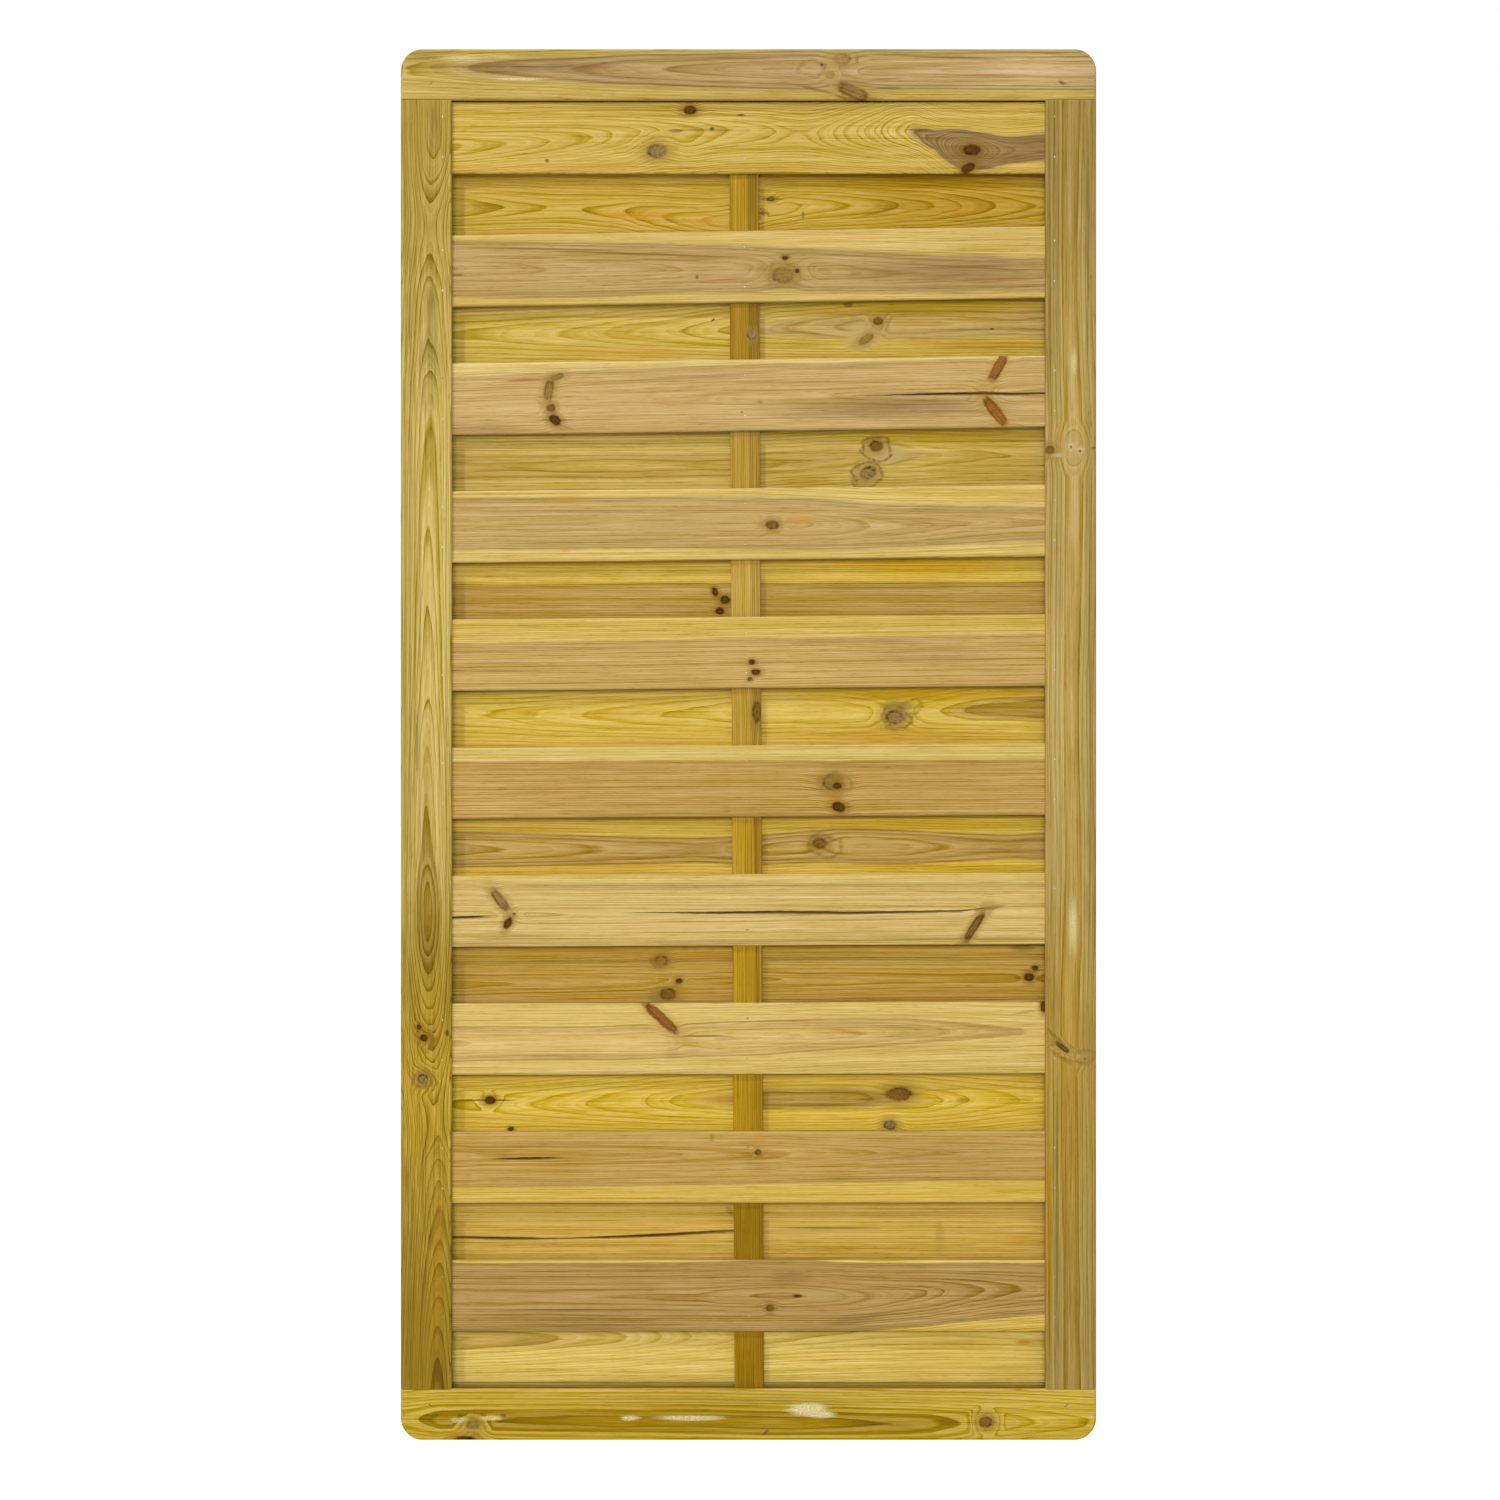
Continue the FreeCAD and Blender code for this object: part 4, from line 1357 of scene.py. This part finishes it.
def knot_place(wood, knot):
    """A knot's own frame and the ragged distance from its middle: round, or squarer in a spike."""
    own, distance = wood.patch(knot)
    if is_spike(knot):
        x, _, z = wood.separate(own)
        powers = [wood.math("POWER", wood.math("ABSOLUTE", side), SPIKE_POWER) for side in (x, z)]
        distance = wood.math("POWER", wood.total(*powers), 1 / SPIKE_POWER)
    return own, wood.math("ADD", distance, wood.ragged)


def knot_mottle(wood, knot, own):
    """The dark mottle in a knot, with streaks along a spike."""
    if not is_spike(knot):
        return wood.mottle
    wide, high = knot.size
    streaks = wood.noise(own, WIDE_SPIKE if wide > high else TALL_SPIKE, wood.seed)
    return wood.math("MAXIMUM", wood.mottle, wood.range(streaks, *SPIKE_RANGE))


def rim_lean(wood, knot, own):
    """How dark a knot's rim is: most on one side, which the knot's place picks."""
    x, _, z = wood.separate(own)
    sideways = wood.math("MULTIPLY", x, math.cos(knot.at[0]))
    lean = wood.math("MULTIPLY_ADD", z, math.sin(knot.at[0]), sideways)
    return wood.range(lean, *RIM_LEAN_RANGE)


def lay_knot(wood, colour, knot, own, distance):
    """Lays a knot's end cracks, mottled core, broken dark rim and fading halo over the colour."""
    if knot.tail:
        crack = Mark(knot.at, (knot.tail, CRACK_WIDTH), "crack", CRACK_STRENGTH)
        colour = lay_mark(wood, colour, crack)
    core, rim, halo, core_cover, halo_cover = KNOTS[knot.kind]
    stops = [
        (0.0, (MIDDLE_DARK, 0.0, 0.0, core_cover)),
        (KNOT_CORE / KNOT_REACH, (0.0, 0.0, 0.0, core_cover)),
        (KNOT_RIM / KNOT_REACH, (1.0, 0.0, 0.0, core_cover)),
        (KNOT_EDGE / KNOT_REACH, (EDGE_DARK, 1.0, 0.0, halo_cover)),
        (1.0, (0.0, 1.0, 0.0, 0.0)),
    ]
    shares, cover = wood.ramp(wood.math("DIVIDE", distance, KNOT_REACH), stops)
    rim_share, halo_share, _ = wood.separate(shares)
    rim_strength = wood.math("MULTIPLY", wood.patchy, rim_lean(wood, knot, own))
    darkness = wood.math("MULTIPLY_ADD", rim_share, rim_strength, knot_mottle(wood, knot, own))
    body = wood.mix(darkness, linear(core), linear(rim))
    return wood.mix(cover, colour, wood.mix(halo_share, body, linear(halo)))


def pine(piece, timber, seed):
    """Treated pine: rings round a wandering pith, heartwood, streaks, fibres, marks and knots."""
    wood = Wood(piece, timber, seed)
    knots = [(knot, *knot_place(wood, knot)) for knot in timber.knots]
    radius = ring_radius(wood, knots)
    late, fine = ring_pattern(wood, radius)
    fibre = wood.figure(FIBRE)
    colour = clear_wood(wood, radius, late, fine, fibre)
    for mark in timber.marks:
        lay = lay_swirl if mark.kind == "swirl" else lay_mark
        colour = lay(wood, colour, mark)
    # painted shadow just under the front board
    if timber.seam:
        colour = lay_painted_seam_shade(wood, colour)
    for knot, own, distance in knots:
        colour = lay_knot(wood, colour, knot, own, distance)
    fibre_roughness = wood.swing(fibre, FIBRE_ROUGHNESS)
    late_roughness = wood.math("MULTIPLY", late, LATE_ROUGHNESS)
    roughness = wood.total(WOOD_ROUGHNESS, fibre_roughness, late_roughness)
    shader = wood.finish(colour, roughness, fibre, WOOD_BUMP, WOOD_BUMP_HEIGHT)
    shader.inputs["Specular IOR Level"].default_value = WOOD_SPECULAR
    return wood.material


def galvanised_wire(name, least_stain):
    """Dull zinc on the brads and staples, blotched and stained by the treated timber."""
    tree = Tree(name)
    spangle = tree.noise(tree.coordinate, SPANGLE)
    zinc = tree.mix(spangle, linear(ZINC_DARK), linear(ZINC_BRIGHT))
    stain = tree.range(tree.noise(tree.coordinate, WIRE_STAIN), *STAIN_STRETCH, least_stain, MOST_STAIN)
    colour = tree.mix(stain, zinc, linear(ZINC_STAINED))
    roughness = tree.range(spangle, *ZINC_ROUGHNESS_RANGE)
    shader = tree.finish(colour, roughness, spangle, ZINC_BUMP, ZINC_BUMP_HEIGHT)
    shader.inputs["Metallic"].default_value = ZINC_METALLIC
    return tree.material


def nail_boxes(node):
    """The low and high corner of each nail in a node whose nails stand in one column."""
    points = [vertex.co.copy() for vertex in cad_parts[node].data.vertices]
    points.sort(key=lambda point: point.z)
    groups = [[points[0]]]
    for point in points[1:]:
        if point.z - groups[-1][-1].z > NAIL_SPACING:
            groups.append([])
        groups[-1].append(point)
    boxes = []
    for group in groups:
        low = Vector([min(point[axis] for point in group) for axis in range(3)])
        high = Vector([max(point[axis] for point in group) for axis in range(3)])
        boxes.append((low, high))
    return boxes


def board_nails(piece, nail_node):
    """The room that each nail takes in a board, as low and high corners in the board's own frame."""
    own = piece.place().inverted()
    clearance = Vector((NAIL_CLEARANCE, 0, NAIL_CLEARANCE))
    nails = []
    for low, high in nail_boxes(nail_node):
        middle = own @ ((low + high) / 2)
        half = (high - low) / 2 + clearance
        if abs(middle.z) < piece.width / 2:
            nails.append((middle - half, middle + half))
    return nails


class SplitPath:
    """A split in a board's own frame: its middle line and its width along the board."""

    def __init__(self, piece, split):
        self.points = []
        for x, y, gap in split.points:
            along, across = piece.inside(x, y)
            self.points.append((along, across, gap * MM))
        self.start, self.end = self.points[0][0], self.points[-1][0]
        self.row = sum(point[1] for point in self.points) / len(self.points)
        self.reach = max(abs(point[1] - self.row) for point in self.points) + 2 * SPLIT_LIP

    def at(self, along):
        """The split's middle and width at a place along the board."""
        if not self.start <= along <= self.end:
            nearest = self.points[0] if along < self.start else self.points[-1]
            return nearest[1], 0.0
        for (a0, m0, w0), (a1, m1, w1) in zip(self.points, self.points[1:]):
            if a0 <= along <= a1:
                share = (along - a0) / (a1 - a0)
                return m0 + (m1 - m0) * share, w0 + (w1 - w0) * share
        return self.points[-1][1], 0.0


def blank(piece):
    """A plain board about the origin, with its long edges rounded."""
    bm = bmesh.new()
    bmesh.ops.create_cube(bm, size=1)
    bmesh.ops.scale(bm, vec=(piece.length, piece.thickness, piece.width), verts=bm.verts)
    long_edges = [e for e in bm.edges if abs(e.verts[0].co.x - e.verts[1].co.x) > piece.length / 2]
    bmesh.ops.bevel(
        bm,
        geom=long_edges,
        offset=PLANK_ARRIS,
        affect="EDGES",
        segments=ARRIS_SEGMENTS,
        profile=0.5,
        material=-1,
    )
    return bm


def steps(start, end, pitch):
    """Even places between two ends, about a pitch apart."""
    count = max(int(round((end - start) / pitch)), 1)
    return [start + (end - start) * index / count for index in range(1, count)]


def cut(bm, axis, places):
    """Cuts the mesh across an axis at each place."""
    normal = Vector((0, 0, 0))
    normal[axis] = 1.0
    for place in sorted(set(places)):
        geometry = bm.verts[:] + bm.edges[:] + bm.faces[:]
        bmesh.ops.bisect_plane(
            bm, geom=geometry, dist=CUT_TOLERANCE, plane_co=normal * place, plane_no=normal
        )


def divide(bm, piece, paths, nails):
    """Cuts a board into columns and rows, closer along its splits and round its nails."""
    half_length, half_width = piece.length / 2, piece.width / 2
    columns = steps(-half_length, half_length, COLUMN_PITCH)
    rows = steps(-half_width, half_width, ROW_PITCH)
    for path in paths:
        columns += steps(path.start, path.end, SPLIT_COLUMN_PITCH) + [path.start, path.end]
        rows = [row for row in rows if abs(row - path.row) > path.reach]
    for path in paths:
        rows += [path.row - SPLIT_LIP, path.row, path.row + SPLIT_LIP]
    for low, high in nails:
        columns += [low.x, high.x]
        rows += [low.z, high.z]
    cut(bm, 0, [place for place in columns if abs(place) < half_length])
    cut(bm, 2, rows)


def open_split(bm, path, face, seed):
    """Parts a split's lips by its width and sinks the row between them."""
    for vertex in bm.verts:
        side = round((vertex.co.z - path.row) / SPLIT_LIP)
        in_row = abs(side) <= 1 and abs(vertex.co.z - path.row - side * SPLIT_LIP) < SAME_PLACE
        if not in_row or abs(vertex.co.y - face) > SAME_PLACE:
            continue
        middle, width = path.at(vertex.co.x)
        shake = noise.noise(Vector((vertex.co.x / SPLIT_RAGGED_LENGTH, seed, side * SPLIT_SIDE_STEP)))
        ragged = SPLIT_RAGGED * shake * min(width / SPLIT_FULL_RAGGED, 1.0)
        vertex.co.z = middle + side * (max(width / 2, SPLIT_LEAST) + ragged)
        if side == 0:
            vertex.co.y += min(width * SPLIT_STEEPNESS, SPLIT_DEEPEST)


def sink_nail(bm, box, face, outward):
    """Presses a small pocket into the board's face round a nail's head."""
    low, high = box
    cell = []
    for side in bm.faces:
        middle = side.calc_center_median()
        on_face = side.normal.y * outward > FACING and abs(middle.y - face) < SAME_PLACE
        if on_face and low.x < middle.x < high.x and low.z < middle.z < high.z:
            cell.append(side)
    bmesh.ops.inset_region(bm, faces=cell, thickness=NAIL_POCKET_WALL, depth=0.0)
    floor = {vertex for side in cell for vertex in side.verts}
    bmesh.ops.translate(bm, verts=list(floor), vec=(0, -outward * NAIL_POCKET, 0))


def settle(bm, piece, batten_x, seed):
    """Cups and waves a board a little where nothing holds it, and roughens its long edges."""
    half_length, half_width = piece.length / 2, piece.width / 2
    for vertex in bm.verts:
        x, _, z = vertex.co
        off_ends = smooth(half_length - abs(x), HELD_FAST, HELD_AT_ENDS)
        off_batten = smooth(abs(x - batten_x), HELD_FAST, HELD_AT_BATTEN)
        crown = CUP * (1 - (z / half_width) ** 2)
        wave = WAVE * noise.noise(Vector((x / WAVE_LENGTH, seed * WAVE_SEED_STEP, z / WAVE_LENGTH)))
        vertex.co.y += off_ends * off_batten * (wave - crown)
        side = 1 if z > 0 else -1
        at_edge = smooth(abs(z), half_width - EDGE_ZONE, half_width - EDGE_ZONE / 2)
        rough = (1 + noise.noise(Vector((x / EDGE_WAVE_LENGTH, seed, side)))) / 2
        vertex.co.z -= side * at_edge * EDGE_WAVE * rough


def plank(node, timber, nail_node, outward, seed):
    """A board in the CAD board's place, with its splits, nail pockets and a little movement."""
    piece = Piece(node)
    nails = board_nails(piece, nail_node)
    paths = [SplitPath(piece, split) for split in timber.splits]
    bm = blank(piece)
    divide(bm, piece, paths, nails)
    for path in paths:
        open_split(bm, path, -piece.thickness / 2, seed)
    for box in nails:
        sink_nail(bm, box, outward * piece.thickness / 2, outward)
    first_low, first_high = nails[0]
    settle(bm, piece, (first_low.x + first_high.x) / 2, seed)
    bmesh.ops.transform(bm, matrix=piece.place(), verts=bm.verts)
    mesh = bpy.data.meshes.new(node + "_plank")
    bm.to_mesh(mesh)
    bm.free()
    mesh.shade_smooth()
    mesh.set_sharp_from_angle(angle=SHARP_ANGLE)
    board = bpy.data.objects.new(node + "_plank", mesh)
    bpy.context.scene.collection.objects.link(board)
    board.data.materials.append(pine(piece, timber, seed))
    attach(board, "root")
    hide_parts(node)


def dress(node, material):
    """Gives a CAD node a finish in place of its plain one."""
    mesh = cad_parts[node].data
    mesh.materials.clear()
    mesh.materials.append(material)


def light_world():
    """White where the camera sees it, and an even soft light for the rest."""
    world = bpy.data.worlds.new("studio")
    world.use_nodes = True
    bpy.context.scene.world = world
    nodes, links = world.node_tree.nodes, world.node_tree.links
    nodes.clear()
    rays = nodes.new("ShaderNodeLightPath")
    strength = nodes.new("ShaderNodeMapRange")
    links.new(rays.outputs["Is Camera Ray"], strength.inputs["Value"])
    strength.inputs["To Min"].default_value = AMBIENT
    strength.inputs["To Max"].default_value = BACKDROP
    background = nodes.new("ShaderNodeBackground")
    background.inputs["Color"].default_value = (1, 1, 1, 1)
    links.new(strength.outputs[0], background.inputs["Strength"])
    output = nodes.new("ShaderNodeOutputWorld")
    links.new(background.outputs[0], output.inputs[0])


def add_floor():
    """A pale floor that glows for the camera, so that it reads white and still shows the shadow."""
    mesh = bpy.data.meshes.new("floor")
    bm = bmesh.new()
    bmesh.ops.create_grid(bm, x_segments=1, y_segments=1, size=FLOOR_SIZE / 2)
    bm.to_mesh(mesh)
    bm.free()
    floor = bpy.data.objects.new("floor", mesh)
    bpy.context.scene.collection.objects.link(floor)
    tree = Tree("pale_floor")
    matt = tree.add("ShaderNodeBsdfDiffuse")
    matt.inputs["Color"].default_value = FLOOR_COLOUR
    glow = tree.add("ShaderNodeEmission")
    glow.inputs["Strength"].default_value = FLOOR_GLOW
    rays = tree.add("ShaderNodeLightPath")
    share = tree.math("MULTIPLY", rays.outputs["Is Camera Ray"], FLOOR_GLOW_SHARE)
    blend = tree.add("ShaderNodeMixShader")
    tree.feed(blend.inputs[0], share)
    tree.feed(blend.inputs[1], matt.outputs[0])
    tree.feed(blend.inputs[2], glow.outputs[0])
    output = tree.add("ShaderNodeOutputMaterial")
    tree.links.new(blend.outputs[0], output.inputs[0])
    mesh.materials.append(tree.material)


def add_lamp(name, kind, strength, towards):
    """A lamp of the studio's colour that shines in a direction; returns its object."""
    data = bpy.data.lights.new(name, kind)
    data.energy = strength
    data.color = LAMP_COLOUR
    lamp = bpy.data.objects.new(name, data)
    lamp.rotation_euler = towards.to_track_quat("-Z", "Y").to_euler()
    bpy.context.scene.collection.objects.link(lamp)
    return lamp


def add_fill():
    """A wide, even light from the front, a little above and to the left."""
    level = math.cos(FILL_UP)
    towards = Vector((math.sin(FILL_LEFT) * level, math.cos(FILL_LEFT) * level, -math.sin(FILL_UP)))
    lamp = add_lamp("fill", "SUN", FILL_STRENGTH, towards)
    lamp.data.angle = FILL_SPREAD


def add_key():
    """A softbox above and to the left, near enough that its light falls off down the panel."""
    towards = Vector((0, 0, PANEL_HEIGHT / 2)) - Vector(KEY_PLACE)
    lamp = add_lamp("key", "AREA", KEY_POWER, towards)
    lamp.location = KEY_PLACE
    lamp.data.shape = "DISK"
    lamp.data.size = KEY_SIZE
    lamp.visible_camera = False


def add_camera():
    """The photograph's level, square-on view."""
    data = bpy.data.cameras.new("camera")
    data.sensor_width = SENSOR
    data.lens = SENSOR * CAMERA_DISTANCE / (PIXEL * PHOTO_SIDE)
    data.shift_x = (PHOTO_SIDE / 2 - PHOTO_MIDDLE_X) / PHOTO_SIDE
    data.shift_y = -(PHOTO_SIDE / 2 - PHOTO_MIDDLE_Y) / PHOTO_SIDE
    camera = bpy.data.objects.new("camera", data)
    camera.location = (0, PANEL_FRONT - CAMERA_DISTANCE, PANEL_HEIGHT / 2)
    camera.rotation_euler = (math.radians(90), 0, 0)
    bpy.context.scene.collection.objects.link(camera)
    bpy.context.scene.camera = camera


def build():
    """All of the object's looks."""
    for number, timber in enumerate(FRONT_BOARDS, 1):
        plank(f"front_board_{number:02d}", timber, "front_batten_brads", -1, FRONT_SEED + number)
    for number, timber in enumerate(BACK_BOARDS, 1):
        plank(f"back_board_{number:02d}", timber, "back_batten_brads", 1, BACK_SEED + number)
    for number, (node, timber) in enumerate(FRAME_TIMBERS.items(), 1):
        dress(node, pine(Piece(node), timber, FRAME_SEED + number))
    wire = galvanised_wire("galvanised_wire", BRAD_STAIN)
    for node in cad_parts:
        if node.endswith("_brads"):
            dress(node, wire)
    dress("corner_staples", galvanised_wire("stained_wire", STAPLE_STAIN))


build()
light_world()
add_floor()
add_key()
add_fill()
add_camera()
bpy.context.scene.view_settings.view_transform = "Standard"
bpy.context.view_layer.update()
